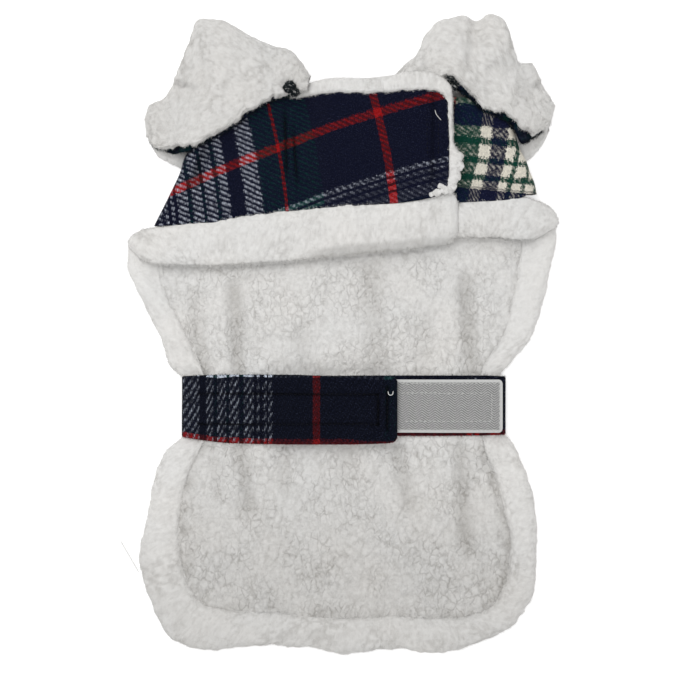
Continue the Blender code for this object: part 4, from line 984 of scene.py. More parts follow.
def buildRoll(name, node, rows, floor, roundEnd, kind, seed, uneven, lap=0.0):
    # a rounded-square ring carried along a table of sections and shrunk to nothing at its ends, then
    # displaced by pile whose clumps are laid out by the length along the roll and the way round it; its
    # inner side slopes gently and lies on the lining, a lap above the floor
    _, length = travel(rows, np.array([0.0]))
    shares = np.linspace(0.0, 1.0, int(length / rollShape["step"]) + 1)
    table, _ = travel(rows, shares)
    xOut, yOut, xIn, yIn, high = upright(table)
    full = quarter(np.minimum(shares, 1.0 - shares)[:, None] * length, roundEnd)
    across, up = rollRing(lap)
    along = shares[:, None] * length
    line = joined(along[:, 0], 0.0, 0.0)
    swell = 1.0 + uneven * waves(line, rollShape["uneven"], seed + 40)[:, None]
    edgeWaves = (waves(line, 8.0, seed + 41) + 0.7 * waves(line, 3.6, seed + 42))[:, None]
    hemmed = rollShape["sides"] + (1.0 - rollShape["sides"]) * ease(-150.0, -190.0, yOut)
    scallop = rollShape["scallop"] * hemmed * full * edgeWaves
    span = np.hypot(xOut - xIn, yOut - yIn)
    across = 0.5 + (across[None, :] - 0.5) * (0.55 + 0.45 * full)
    reach = across + scallop * ease(0.82, 1.0, across) / span
    x, y = xIn + (xOut - xIn) * reach, yIn + (yOut - yIn) * reach
    lift = lap * ease(0.34, 0.12, across)
    z = floor(x, y) + lift + (high * (0.08 + 0.92 * full) * swell - lift) * up[None, :]
    points = joined(x, y, z)
    middle = across[len(across) // 2]
    way = summed(np.hypot(np.diff(middle) * float(span.mean()), np.diff(up) * float(high.mean())))[None, :]
    raised, hollow = pile(joined(along, way, 0.0), sherpaLooks[kind], seed)
    # painted shade: darker at the foot of a roll that laps over the lining and towards the hem; above the
    # belt a share of all its shade is taken off, painted lighter
    paintedShade = rollShape["lowShade"] * (lap > 0) * (1.0 - up[None, :]) ** 3
    paintedShade = paintedShade + rollShape["hemShade"] * ease(-90.0, -215.0, y)
    shadeLifted = rollShape["shadeLifted"] * (lap > 0) * ease(-25.0, 5.0, y)
    hollow = np.clip(hollow * (1.0 - shadeLifted) + paintedShade * (1.0 - shadeLifted), 0.0, 1.0)
    points = points + tubeNormals(points) * ((raised - 0.35) * full)[..., None]
    points[..., 2] = np.maximum(points[..., 2], floor(x, y) + lift)
    piece = addPiece(name, points, tubeFaces(*x.shape), trimSherpa, hollow=hollow)
    wear(piece, node)
    normals = tubeNormals(points)
    outward = outwardFrom(xIn, yIn, xOut, yOut, 0.35)
    inward = outward * np.array([-1.0, -1.0, 1.0])
    top = slice(0, rollShape["topPoints"])
    fringes = [("pile_ends", (points[:, top], normals[:, top]), kind),
               ("edge_ends", (points[:, 27:31], np.repeat(outward, 4, axis=1)), "whiteEdge"),
               ("seam_ends", (points[:, 3:8], np.repeat(inward, 5, axis=1)), "seam")]
    for k, (ends, ground, fuzz) in enumerate(fringes):
        addFuzz(name.replace("sherpa", ends), piece, ground, fuzz, trimSherpa, seed + 90 + k)
    return piece


flapShape = {"columns": 120, "rows": 64, "wrapPoints": 16, "underBand": 1.5, "sag": 0.35, "ripple": 0.18}


def leftFlapCloth(x, y):
    # place in the check: red weft line along a slanting curve, red warp line across it
    rise = y - 90.0
    slide = (-0.10 * rise - 0.0012 * rise**2) * (1.0 - 0.7 * ease(36.5, 70.0, x))
    redLine = 145.8 + 0.326 * x - 0.000538 * x**2
    return joined(36.5 + slide - x, (y - redLine) * 0.93)


# the right flap's own places against those in the check, across and down, and how far its warps lean with
# height
rightFlapAcross = [
    (20.0, 19.0), (71.0, 76.0), (94.4, 93.9), (98.0, 99.7), (101.6, 105.5), (107.3, 110.8), (113.0, 116.1),
    (119.0, 122.7), (122.6, 125.8), (128.6, 132.5), (132.2, 135.6), (138.0, 142.3), (160.0, 168.0),
]
rightFlapDown = [
    (60.0, 200.0), (96.5, 173.0), (102.0, 167.2), (102.5, 152.6), (108.6, 145.4), (112.6, 142.3),
    (120.0, 135.6), (125.2, 132.5), (133.2, 125.8), (138.6, 122.7), (146.0, 116.1), (154.4, 110.7),
    (185.0, 84.0),
]
rightFlapLean = [(96.0, -7.6), (106.0, -5.4), (116.0, -2.3), (129.0, 0.0), (142.0, 1.3), (170.0, 4.4)]


def rightFlapCloth(x, y):
    # the check leans and its rows tilt; both directions stretch a little towards the fold
    across = curve(x - curve(y, *zip(*rightFlapLean)), *zip(*rightFlapAcross))
    down = curve(y + 0.085 * (x - 100.0), *zip(*rightFlapDown))
    return joined(across - redHalf, down - redHalf)


def flapGrid(fold, low, neck, end, across, up):
    # points between a flap's four edges, from its fold (0) to its end (1) and from its border (0) to its
    # neck (1)
    (lowEdge, _), (neckEdge, _) = travel(low, across), travel(neck, across)
    (foldLine, _), (endLine, _) = travel(fold, up), travel(end, up)
    u, v = across[None, :, None], up[:, None, None]
    corners = ((foldLine[0] * (1 - u) + endLine[0] * u) * (1 - v)
               + (foldLine[-1] * (1 - u) + endLine[-1] * u) * v)
    points = (lowEdge[None] * (1 - v) + neckEdge[None] * v
              + foldLine[:, None] * (1 - u) + endLine[:, None] * u - corners)
    return points[..., 0], points[..., 1]


def flapEdges(fold, border, neck, end):
    # the flap's fold at its crown, its lower edge a little under the border, its neck and its end
    side = np.sign(fold[0][0])
    crown = [(x - side * foldReach, y) for x, y in fold]
    between = [row for row in border if side * end[0][0] + 1.2 < side * row[0] < side * crown[0][0]]
    low = [crown[0]] + [(row[0], row[1] - flapShape["underBand"]) for row in between] + [end[0]]
    return crown, low, [crown[-1]] + list(neck[1:]), end


def sideName(side):
    return "left" if side < 0 else "right"


def wrapRound(side, x, y, middle, half):
    # x and z of the flap's shell round its fold, a half circle, and in under the body, from its seam on
    under = groundAt(x, y) + half
    radius = (middle - under) / 2
    angle = np.linspace(0.0, np.pi, flapShape["wrapPoints"])[None, 1:]
    roundX = x + side * (foldReach - half) * np.sin(angle)
    roundZ = under + radius + radius * np.cos(angle)
    seamX = x - side * (foldSeam - foldReach - 1.5) * np.array([[0.25, 0.5, 0.75, 1.0]])
    seamZ = groundAt(seamX, y + 0 * seamX) + half
    wrapX = np.concatenate([roundX, seamX], axis=1)[:, ::-1]
    return wrapX, np.concatenate([roundZ, seamZ], axis=1)[:, ::-1]


def buildFlap(side, fold, border, neck, end, floor, clothPlace, puckers):
    # plaid: the grid over the lining, round the fold and in under the body, with a middle surface moved
    # out and in by half the cloth; under it a plain sherpa sheet
    name = sideName(side)
    edges = flapEdges(fold, border, neck, end)
    across = np.linspace(0.0, 1.0, flapShape["columns"])
    up = np.linspace(0.0, 1.0, flapShape["rows"])
    x, y = flapGrid(*edges, across, up)
    flat = joined(x, y, 0.0)
    sag = flapShape["sag"] * waves(flat, 26.0, 71) + flapShape["ripple"] * waves(flat, 9.0, 72)
    dent = foldDepth(x, y, puckers)
    half = layers["shell"] / 2
    middle = floor(x, y) + layers["flapPile"] + gap + half
    wrapX, wrapZ = wrapRound(side, x[:, :1], y[:, :1], middle[:, :1], half)
    fade = ease(0.0, 6.0, np.abs(x - x[:, :1]))
    fade = fade * ease(0.0, 5.0, np.abs(y - y[:1])) * ease(0.0, 5.0, np.abs(y[-1:] - y))
    wholeY = np.concatenate([np.repeat(y[:, :1], wrapX.shape[1], axis=1), y], axis=1)
    wholeZ = np.concatenate([wrapZ, middle + (sag * 0.5 - dent) * fade], axis=1)
    surface = joined(np.concatenate([wrapX, x], axis=1), wholeY, wholeZ)
    turned = surface[:, :wrapX.shape[1] + 1]
    backwards = np.linalg.norm(np.diff(turned, axis=1), axis=-1)[:, ::-1].cumsum(axis=1)[:, ::-1]
    cloth = clothPlace(np.concatenate([x[:, :1] + side * backwards, x], axis=1), wholeY)
    normal = gridNormals(surface)
    points = np.stack([surface + normal * half, surface - normal * half])
    material = flapPlaid if side < 0 else rightFlapPlaid
    # the dents' depth, for painted shade in the puckers
    dented = np.clip(np.concatenate([0 * wrapX, dent * fade], axis=1), 0.0, 1.0)
    shell = addPiece("%s_flap_plaid" % name, points, sheetFaces(*wholeY.shape), material,
                     np.stack([cloth, cloth]), np.stack([dented, dented]))
    wear(shell, "%s_flap_shell" % name)

    x, y = flapGrid(*edges, across[::3], up[::3])
    bottom = floor(x, y)
    points = twoFaces(x, y, bottom + layers["flapPile"], bottom)
    inner = addPiece("%s_flap_inner" % name, points, sheetFaces(*x.shape), trimSherpa,
                     hollow=0 * points[..., 0])
    wear(inner, "%s_flap_lining" % name)
    return shell


# sherpa that stands out past the left flap's shell: a strip along its neck and down its end
edgeStrip = [
    # x and y of the shell's edge, how far the strip stands out
    (-38.0, 168.0, 3.0), (-26.0, 169.5, 6.5), (-4.0, 171.0, 8.6), (16.0, 170.5, 8.8), (34.0, 171.5, 9.6),
    (47.0, 172.6, 11.4), (57.0, 173.0, 11.4), (65.0, 172.0, 9.2), (70.6, 169.2, 6.8), (72.6, 165.0, 4.6),
    (73.2, 150.0, 3.9), (73.6, 135.0, 4.0), (73.6, 129.0, 6.6), (73.5, 123.5, 10.6), (73.4, 117.0, 8.4),
    (73.2, 110.0, 8.6), (72.6, 104.0, 6.4), (71.8, 98.0, 5.0),
]
stripShape = {"sections": 330, "around": 26, "roundEnd": 5.0}

# loose tufts at the strip's lower corner: place, half sizes
cornerTufts = [
    (79.6, 124.0, 26.6, 4.2, 3.0, 3.0), (80.4, 117.5, 26.2, 3.4, 3.6, 2.8),
    (78.6, 110.5, 26.4, 3.4, 3.8, 2.8), (75.6, 103.0, 26.8, 3.2, 3.4, 2.8),
    (70.4, 100.4, 27.6, 3.6, 3.0, 2.4), (65.2, 98.6, 28.0, 3.2, 2.6, 2.0),
    (61.2, 97.4, 28.0, 2.2, 1.8, 1.6), (67.6, 103.2, 28.2, 2.2, 2.0, 1.6),
]


def buildEdgeStrip():
    # an oval ring carried along the flap's edge, standing out square to it
    shares = np.linspace(0.0, 1.0, stripShape["sections"])
    table, length = travel(edgeStrip, shares)
    edge, out = table[:, 0:2], table[:, 2:3]
    ahead = unit(np.gradient(edge, axis=0))
    square = joined(-ahead[:, 1], ahead[:, 0])
    turn = np.linspace(0.0, 2 * np.pi, stripShape["around"] + 1)[:-1][None, :]
    along = np.linspace(0, length, stripShape["sections"])
    fromEnd = np.minimum(along, np.linspace(length, 0, stripShape["sections"]))[:, None]
    full = quarter(fromEnd, stripShape["roundEnd"])
    inner = 1.0 + 2.2 * ease(158.0, 168.0, edge[:, 1:2])       # how far it covers the shell's edge
    inner = inner + 0.5 * waves(joined(edge[:, 0:1], edge[:, 1:2], 0.0), 4.0, 34)
    reach = ((out + inner - 1.0) / 2) * (1.0 - np.cos(turn) * np.abs(np.cos(turn)) ** -0.2) - inner
    x = edge[:, 0:1] + square[:, 0:1] * reach
    y = edge[:, 1:2] + square[:, 1:2] * reach
    low = leftFlapFloor(np.minimum(x, 73.0), np.minimum(y, 172.0))
    half = layers["flapPile"] / 2
    z = low + half + 1.3 + (half + 1.4) * np.sin(turn) * (0.25 + 0.75 * full)
    z = z + (inner - 1.0) * ease(1.5, -1.0, reach)
    points = joined(x, y, z)
    look = dict(sherpaLooks["band"], clump=4.5, wave=0.25)
    raised, hollow = pile(joined(along[:, None], 3.0 * turn, 0.0), look, 31)
    points = points + tubeNormals(points) * (raised * 0.8)[..., None]
    strip = addPiece("flap_edge_sherpa", points, tubeFaces(*x.shape), trimSherpa, hollow=hollow)
    wear(strip, "left_flap_lining")
    ground = points, tubeNormals(points)
    addFuzz("flap_edge_pile_ends", strip, ground, "strip", trimSherpa, 131)
    inward = joined(-square[:, 0:1], -square[:, 1:2], 0.5)
    ground = points[:, [0, 1, 24, 25]], unit(np.repeat(inward, 4, axis=1))
    addFuzz("flap_edge_inner_ends", strip, ground, "whiteEdge", trimSherpa, 132)
    addTufts("flap_edge_tufts", strip, cornerTufts, trimSherpa, 33)


# creases of the falls: x and y of both ends, half width, depth (a ridge where it is below 0)
leftCreases = [
    (-127.0, 163.0, -106.0, 149.0, 6.0, 0.6), (-118.0, 152.0, -96.0, 160.0, 9.0, -1.2),
    (-46.0, 198.0, -56.0, 168.0, 5.0, 1.8), (-92.0, 214.0, -83.0, 180.0, 11.0, -1.5),
    (-100.0, 190.0, -92.0, 152.0, 6.0, 1.2), (-70.0, 206.0, -76.0, 168.0, 6.0, 1.2),
    (-84.0, 150.0, -52.0, 176.0, 7.0, -1.0), (-136.0, 140.0, -118.0, 142.0, 6.0, 1.0),
]
rightCreases = [
    (92.4, 219.0, 89.0, 190.0, 3.6, 3.4), (121.0, 190.0, 106.0, 184.0, 4.0, 2.8),
    (106.0, 184.0, 104.0, 168.0, 5.0, 1.6), (138.0, 174.0, 127.0, 171.0, 4.0, 2.4),
    (57.0, 206.0, 60.0, 186.0, 3.6, 2.6), (76.0, 208.0, 84.0, 178.0, 9.0, -1.6),
    (112.0, 214.0, 108.0, 192.0, 6.0, -1.4), (96.0, 182.0, 112.0, 158.0, 6.0, 1.3),
    (128.0, 164.0, 118.0, 152.0, 5.0, 1.2), (72.0, 196.0, 66.0, 186.0, 5.0, 1.2),
    (38.0, 180.0, 60.0, 181.0, 6.0, 1.6),
]
# its last entry is painted shade on each fall's upper face, more on the left one
collarShape = {"sections": 118, "topPoints": 88, "lowPoints": 20, "foldRound": 9.0, "freeRound": 3.0,
               "endRound": 7.0, "lowRound": 4.0, "belly": 0.35, "blend": 1.5, "droop": (2.0, 30.0),
               "ragged": 1.1, "swell": 30.0, "paintedShade": {-1: 0.34, 1: 0.22}}
underShape = {"sections": 120, "across": 26, "crossing": (0.35, 0.3), "ragged": 0.35, "cloth": (30.0, 58.0)}
backShape = {"sections": 230, "topPoints": 40, "lowPoints": 16, "foldRound": 6.0, "freeRound": 4.0,
             "raised": 0.3}


def creaseDepth(x, y, creases):
    # bell-shaped troughs along short straight lines, dying away past their ends
    depth = 0 * x
    for x0, y0, x1, y1, halfWidth, deep in creases:
        run = math.hypot(x1 - x0, y1 - y0)
        ahead = ((x - x0) * (x1 - x0) + (y - y0) * (y1 - y0)) / run
        beside = ((x - x0) * (y1 - y0) - (y - y0) * (x1 - x0)) / run
        past = np.maximum(np.maximum(-ahead, ahead - run), 0.0)
        depth = depth + deep * np.exp(-(beside / halfWidth) ** 2 - (past / (1.4 * halfWidth)) ** 2)
    return depth


def doubledAt(x, y, early=0.0):
    # 1 north of the neckline, where the standing half of the collar lies on its fall
    neck = lineHeight(neckline, x)
    return ease(0.5 - early, 4.5 - early, y - neck)


def fallFloor(side, fold, neck, floor, x, y):
    # underside of a collar fall, with room for its plaid face
    outside = side * (x - lineReach(fold, y))
    onFlap = (1.0 - ease(1.0, 14.0, outside)) * ease(8.0, 4.0, y - lineHeight(neck, x))
    flapTop = floor(x, np.minimum(y, lineHeight(neck, x))) + shellTop + gap + layers["collarSlack"]
    backTop = layers["collarPile"] * (1.0 + doubledAt(x, y, early=12.0)) + gap + 2 * layers["slack"]
    room = (layers["underCollar"] + gap) * (1.0 - doubledAt(x, y) * (1.0 - onFlap))
    return backTop + (flapTop - backTop) * onFlap + room


def ringShares(topPoints, lowPoints):
    # shares from fold to free edge over the top and back underneath
    return np.concatenate([bunched(topPoints), bunched(lowPoints)[1:-1][::-1]])[None, :]


def buildFall(side, rows, fold, neck, floor, creases, seed):
    # a ring round each section of the fall: from its fold over the top to its free edge and back
    # underneath; its top is the higher of its crown and its floor, rounded where they meet, less its
    # creases
    name = sideName(side)
    count = collarShape["topPoints"]
    shares = bunched(collarShape["sections"])
    table, length = travel(rows, shares)
    xFold, yFold, xFree, yFree = upright(table)
    width = np.hypot(xFold - xFree, yFold - yFree)
    v = ringShares(count, collarShape["lowPoints"] + 2)
    line = joined(shares * length, 0.0, 0.0)
    ragged = waves(line, 5.0, seed + 2) + 0.6 * waves(line, 2.4, seed + 3)
    stretch = 1.0 + collarShape["ragged"] * ragged[:, None] * ease(0.7, 1.0, v) / width
    x, y = xFold + (xFree - xFold) * v * stretch, yFold + (yFree - yFold) * v * stretch
    ends = np.minimum(shares, 1 - shares)[:, None] * length + 0 * v
    fromFold, fromFree = v * width, (1 - v) * width
    bottom = fallFloor(side, fold, neck, floor, x, y)
    droop = ease(*collarShape["droop"], side * (x - lineReach(fold, y)))
    crown = fallCrown - (fallCrown - layers["collarPile"] - 2 * gap - layers["underCollar"]) * droop
    blend = collarShape["blend"]
    top = blend * np.logaddexp(crown / blend, bottom / blend) - 0.5 + layers["collarPile"]
    top = top - creaseDepth(x, y, creases) + waves(joined(x, y, 0.0), collarShape["swell"], seed + 5)
    belly = bottom + (top - bottom) * collarShape["belly"]
    topRound = quarter(fromFold, collarShape["foldRound"]) * quarter(fromFree, collarShape["freeRound"])
    topRound = topRound * quarter(ends, collarShape["endRound"])
    low = collarShape["lowRound"]
    lowRound = quarter(fromFold, low) * quarter(ends, low) * quarter(fromFree, low)
    upper = np.arange(v.shape[1])[None, :] < count
    z = np.where(upper, belly + (top - belly) * topRound, belly - (belly - bottom) * lowRound)
    smooth = joined(x, y, z)
    raised, hollow = pile(smooth, sherpaLooks["collar"], seed)
    shown = np.where(upper, 1.0, 0.0) * quarter(ends, 5.0)
    # painted shade: each fall's upper face is darkened, the left one more
    hollow = (hollow + collarShape["paintedShade"][side] * upper) * shown
    points = smooth + tubeNormals(smooth) * ((raised - 0.25) * shown)[..., None]
    piece = addPiece("%s_collar_sherpa" % name, points, tubeFaces(*x.shape), trimSherpa, hollow=hollow)
    wear(piece, "collar_%s" % name)
    ground = points[:, :count], tubeNormals(points)[:, :count]
    addFuzz("%s_collar_pile_ends" % name, piece, ground, "collar", trimSherpa, seed + 90)
    outward = outwardFrom(xFold, yFold, xFree, yFree, 0.3)
    ground = points[:, count - 6:count], np.repeat(outward, 6, axis=1)
    addFuzz("%s_collar_edge_ends" % name, piece, ground, "whiteEdge", trimSherpa, seed + 91)


def buildUnderCollar(side, rows, fold, neck, floor, first, last, shown, tufts):
    # the fall's plaid face, just under its sherpa between two of its sections; shown is a table of
    # section and how far the plaid comes out past the free edge there, where the dark cloth also fills the
    # gaps under the fall that lie in deep shade, a painted shadow; tufts are loose bits of it
    name = sideName(side)
    length = middleLength(np.array(rows))
    sections = np.arange(len(length))
    shares = np.linspace(*np.interp([first, last], sections, length), underShape["sections"]) / length[-1]
    table, _ = travel(rows, shares)
    xFold, yFold, xFree, yFree = upright(table)
    start, more = underShape["crossing"]        # share of the way across where the plaid begins, at both ends
    crossing = start + more * (shares[:, None] - shares[0]) / (shares[-1] - shares[0])
    past = curve(np.interp(shares * length[-1], length, sections), *zip(*shown))
    past = past + underShape["ragged"] * waves(joined(shares * 300.0, 0.0, 0.0), 2.2, 61)
    reach = 1.0 + past / np.hypot(xFold - xFree, yFold - yFree)[:, 0]
    v = crossing + (reach[:, None] - crossing) * np.linspace(0.0, 1.0, underShape["across"])[None, :]
    x, y = xFold + (xFree - xFold) * v, yFold + (yFree - yFold) * v
    top = fallFloor(side, fold, neck, floor, x, np.minimum(y, lineHeight(neck, x))) - gap
    points = twoFaces(x, y, top, top - layers["underCollar"])
    warp, weft = underShape["cloth"]
    cloth = joined(warp + 0.25 * (x - x.mean()), weft + 0.3 * (y - y.mean()))
    piece = addPiece("%s_under_collar_plaid" % name, points, sheetFaces(*x.shape), flapPlaid,
                     np.stack([cloth, cloth]))
    wear(piece, "under_collar_%s" % name)
    outward = outwardFrom(xFold, yFold, xFree, yFree, 0.5)
    edge = points[0][:, -3:], np.repeat(outward, 3, axis=1)
    addFuzz("%s_under_collar_fringe" % name, piece, edge, "plaidEdge", darkNap, 171)
    lumps = addTufts("%s_under_collar_tuft" % name, piece, tufts, darkNap, 35)
    addFuzz("%s_under_collar_tuft_ends" % name, piece, lumps, "tuft", darkNap, 172)
    addFuzz("%s_under_collar_flecks" % name, piece, lumps, "fleck", greyThread, 173)


def buildBackCollar():
    # the collar's back half, under the body: a ring round each section, flat where it rests
    count = backShape["topPoints"]
    shares = bunched(backShape["sections"])
    table, length = travel(backCollar, shares)
    xFold, yFold, xFree, yFree = upright(table)
    width = np.hypot(xFold - xFree, yFold - yFree)
    v = ringShares(count, backShape["lowPoints"])
    x, y = xFold + (xFree - xFold) * v, yFold + (yFree - yFold) * v
    ends = np.minimum(shares, 1 - shares)[:, None] * length + 0 * v
    full = layers["collarPile"] * (1.0 + doubledAt(x, y))
    fromFree, outer = (1 - v) * width, np.minimum(v * width, ends)
    free = backShape["freeRound"]
    low = 0.3 * full * (1.0 - quarter(np.minimum(outer, fromFree), free))
    rounded = quarter(outer, backShape["foldRound"]) * quarter(fromFree, free)
    upper = np.arange(v.shape[1])[None, :] < count
    z = np.where(upper, low + (full - low) * rounded, low)
    smooth = joined(x, y, z)
    raised, hollow = pile(smooth * np.array([1.0, 1.0, 0.6]), sherpaLooks["collar"], 57)
    beyond = 1.0 - ease(-3.0, 3.0, lineHeight(neckline, x) - y)
    sides = np.maximum(beyond, ease(108.0, 122.0, np.abs(x))) * np.where(z > 1.0, 1.0, 0.0)
    dented = (np.minimum(raised, backShape["raised"]) - backShape["raised"]) * sides
    points = smooth + tubeNormals(smooth) * dented[..., None]
    points[..., 2] = np.maximum(points[..., 2], 0.0)
    piece = addPiece("collar_back_sherpa", points, tubeFaces(*x.shape), trimSherpa, hollow=hollow * sides)
    wear(piece, "collar_back")
    ground = points[:, :count], tubeNormals(points)[:, :count]
    addFuzz("collar_back_pile_ends", piece, ground, "backCollar", trimSherpa, 159)


beltShape = {"step": 1.2, "across": 44, "edgeRound": 1.3, "endRound": 1.5, "turnPoints": 40, "puckers": 0.22}
stitchRows = {"upper": -41.0, "lower": -62.0, "from": -102.0, "to": 24.5}
bartack = (31.0, -36.0, -66.0)      # x, upper and lower end of the second row across the strap's end
leftGrooves = {
    "along": [(stitchRows[row], stitchRows["from"], stitchRows["to"]) for row in ("upper", "lower")],
    "across": [(stitchRows["to"], stitchRows["upper"], stitchRows["lower"]), bartack],
}

# a strap's own length against the place in the check: the left one is drawn together towards its left end
beltPlaces = [
    (-200.0, 14.6), (-112.7, 93.9), (-101.5, 105.5), (-96.6, 115.9), (-64.1, 152.9), (-50.2, 167.3),
    (-20.9, 205.8), (-17.0, 210.7), (28.5, 256.2), (200.0, 427.7),
]
rightBeltPlaces = [
    (-40.0, 205.0), (38.0, 204.0), (86.0, 168.5), (89.5, 166.0), (95.8, 161.4), (109.3, 156.6),
    (118.0, 154.5), (200.0, 104.5),
]


def beltCloth(run, y, low):
    # the red line follows the strap's lower edge and slips under it towards the end
    redLine = low + 1.2 - 2.6 * ease(-5.0, 34.0, run)
    drawn = 0.9 - 0.043 * ease(-88.0, -76.0, run)
    return joined(curve(run, *zip(*beltPlaces)) - redHalf, (redLine - y) * drawn)


def rightBeltCloth(run, y, low):
    # the red line follows the strap's lower edge
    return joined(curve(run, *zip(*rightBeltPlaces)) - redHalf, (low + 1.2 - y) * 0.94)


def strapPath(rows, floor):
    # x and z of the strap's middle at even steps, from its tail under the body round the side and over
    # the belly; the length at each step and where the turn ends, and the x of the turn's ends
    side = np.sign(rows[0][0])
    half = layers["strap"] / 2
    radius = float(floor(np.array([rows[0][0]]))[0]) / 2
    crown = rows[0][0] - side * (radius + half)
    angle = np.linspace(np.pi, 0.0, beltShape["turnPoints"])
    run = np.linspace(crown, rows[-1][0], 400)[1:]
    x = np.concatenate([[crown - side * strapTail], crown + side * radius * np.sin(angle), run])
    z = np.concatenate([[half], half + radius + radius * np.cos(angle), floor(run) + half])
    length = summed(np.hypot(np.diff(x), np.diff(z)))
    at = np.linspace(0.0, length[-1], int(length[-1] / beltShape["step"]) + 1)
    onTop = length[beltShape["turnPoints"] + 1]
    return np.interp(at, length, x), np.interp(at, length, z), at, onTop, crown


def sewnDepth(x, y, grooves):
    # bell-shaped grooves at the sewn lines, the cloth beside the long ones a little swollen
    depth = 0 * y
    for height, start, end in grooves.get("along", []):
        inside = ease(start - 2, start, x) * ease(end + 2, end, x)
        section = 1.1 * np.exp(-((y - height) / 1.0) ** 2) - 0.35 * np.exp(-((y - height) / 3.4) ** 2)
        depth = depth + section * inside
    for place, top, bottom in grooves.get("across", []):
        section = 0.9 * np.exp(-((x - place) / 1.0) ** 2)
        depth = depth + section * ease(bottom - 2, bottom, y) * ease(top + 2, top, y)
    return depth


def buildStrap(name, rows, floor, node, grooves, clothPlace):
    # a flat ring with rounded edges carried along the strap's path, its upper face grooved at the sewn lines
    x, z, at, onTop, crown = strapPath(rows, floor)
    side = np.sign(rows[0][0])
    table = np.array(sorted(rows))
    high, low = (curve(x, table[:, 0], table[:, k])[:, None] for k in (1, 2))
    run = (crown - side * (at - onTop))[:, None]        # the strap's own length, as x on the belly
    ahead = unit(joined(np.gradient(x), np.gradient(z)))
    normal = joined(-ahead[:, 1], ahead[:, 0])
    normal = normal * np.sign(normal[-1, 1])
    v = bunched(beltShape["across"])
    ring = np.concatenate([v, v[1:-1][::-1]])[None, :]
    face = np.where(np.arange(ring.shape[1]) < len(v), 1.0, -1.0)[None, :]
    width = high - low
    y = high - ring * width
    toEdge, fromEnd = np.minimum(ring, 1 - ring) * width, (at[-1] - at)[:, None]
    body = quarter(toEdge, beltShape["edgeRound"]) * (0.15 + 0.85 * quarter(fromEnd, beltShape["endRound"]))
    flat = joined(run, y, 0.0)
    groove = np.where(face > 0, sewnDepth(flat[..., 0], y, grooves), 0.0)
    out = face * (layers["strap"] / 2 * body - groove) + beltShape["puckers"] * waves(flat, 11.0, 81) * body
    points = joined(x[:, None] + normal[:, 0:1] * out, y, z[:, None] + normal[:, 1:2] * out)
    points[..., 2] = np.maximum(points[..., 2], 0.0)
    cloth = clothPlace(flat[..., 0], y, low)
    # the grooves' depth, for painted shade along the sewn lines
    sewn = np.clip(groove / 0.9, 0.0, 1.0)
    piece = addPiece(name, points, tubeFaces(*y.shape), beltPlaid, cloth, hollow=sewn)
    wear(piece, node)
    for kind, up, nap, seed, edge in (("upper", 1.0, darkNap, 181, points[:, [0, 1, -1]]),
                                      ("lower", -1.0, beltRedNap, 182, points[:, len(v) - 2:len(v) + 1])):
        way = np.broadcast_to(unit(np.array([0.0, up, 0.4])), edge.shape)
        addFuzz("%s_%s_ends" % (name, kind), piece, (edge, way), "beltEdge", nap, seed)
    return piece


tapeCorner = 3.0        # radius of the tapes' corners
hookRows = {"pitch": 1.7, "zigzag": 9.2, "slope": 0.72, "high": 0.4, "nick": 1.15, "rim": (1.6, 2.4),
            "sunk": 0.25}


def buildTape(name, node, material, floor, step, relief):
    # a plate with rounded corners; the relief function gives the height and depth of its face and how much
    # painted shade lies on it
    low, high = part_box(node)
    x0, x1, y0, y1 = low.x / mm, high.x / mm, low.y / mm, high.y / mm
    columns, rows = int((x1 - x0) / step) + 1, int((y1 - y0) / step) + 1
    x = np.linspace(x0, x1, columns)[None, :]
    cut = tapeCorner * (1.0 - quarter(np.minimum(x - x0, x1 - x), tapeCorner))
    y = (y1 - cut) + (y0 - y1 + 2 * cut) * np.linspace(0.0, 1.0, rows)[:, None]
    x = x + 0 * y
    bottom = floor(x, y)
    toEdge = np.minimum(np.minimum(x - x0, x1 - x), np.minimum(y - y0, y1 - y))
    raised, hollow = relief(x, y, toEdge)
    points = twoFaces(x, y, bottom + layers["tape"] + raised, bottom)
    piece = addPiece(name, points, sheetFaces(*x.shape), material, hollow=np.stack([hollow, hollow]))
    wear(piece, node)
    return piece


def hookRelief(x, y, toEdge):
    # slanting rows of hooks in a zigzag: ridges of the height less a triangle wave of x, nicked along
    # their length; painted shade between the ridges and in the nicks
    fold = np.abs((x / hookRows["zigzag"]) % 1.0 - 0.5) * hookRows["zigzag"]
    row = (y - hookRows["slope"] * fold) / hookRows["pitch"]
    ridge = 0.5 + 0.5 * np.cos(2 * np.pi * row)
    nick = 0.5 + 0.5 * np.cos(2 * np.pi * x / hookRows["nick"] + np.pi * np.floor(row))
    inner = ease(*hookRows["rim"], toEdge)
    raised = hookRows["high"] * (ridge * (0.6 + 0.4 * nick) - 1.0) * inner - hookRows["sunk"] * (1 - inner)
    return raised, (1.0 - ridge * (0.65 + 0.35 * nick)) * inner + 0.05


def loopRelief(x, y, toEdge):
    # a low even fluff all over, with painted shade where it dips
    fluff = waves(joined(x, y, 0.0), 1.6, 91)
    return 0.15 * fluff - 0.15, 0.4 - 0.4 * fluff


def beltTapeFloor(x, y):
    return strapFloor(x) + (layers["strap"] + gap + layers["slack"])


def chestTapeFloor(x, y):
    return rightFlapFloor(x, y) + (shellTop + gap)


def onTape(floor):
    # underside of a tape that lies on another
    return lambda x, y: floor(x, y) + layers["tape"] + gap


# a stitch's rings: place along it, thickness, how far it stands up
stitchRings = [
    (-0.5, 0.35, -0.28), (-0.34, 0.85, -0.04), (0.0, 1.0, 0.06), (0.34, 0.85, -0.04), (0.5, 0.35, -0.28),
]


stitch = {"length": 2.3, "space": 0.9, "radius": 0.24, "skew": 0.12, "astray": 0.12, "lift": 0.12}


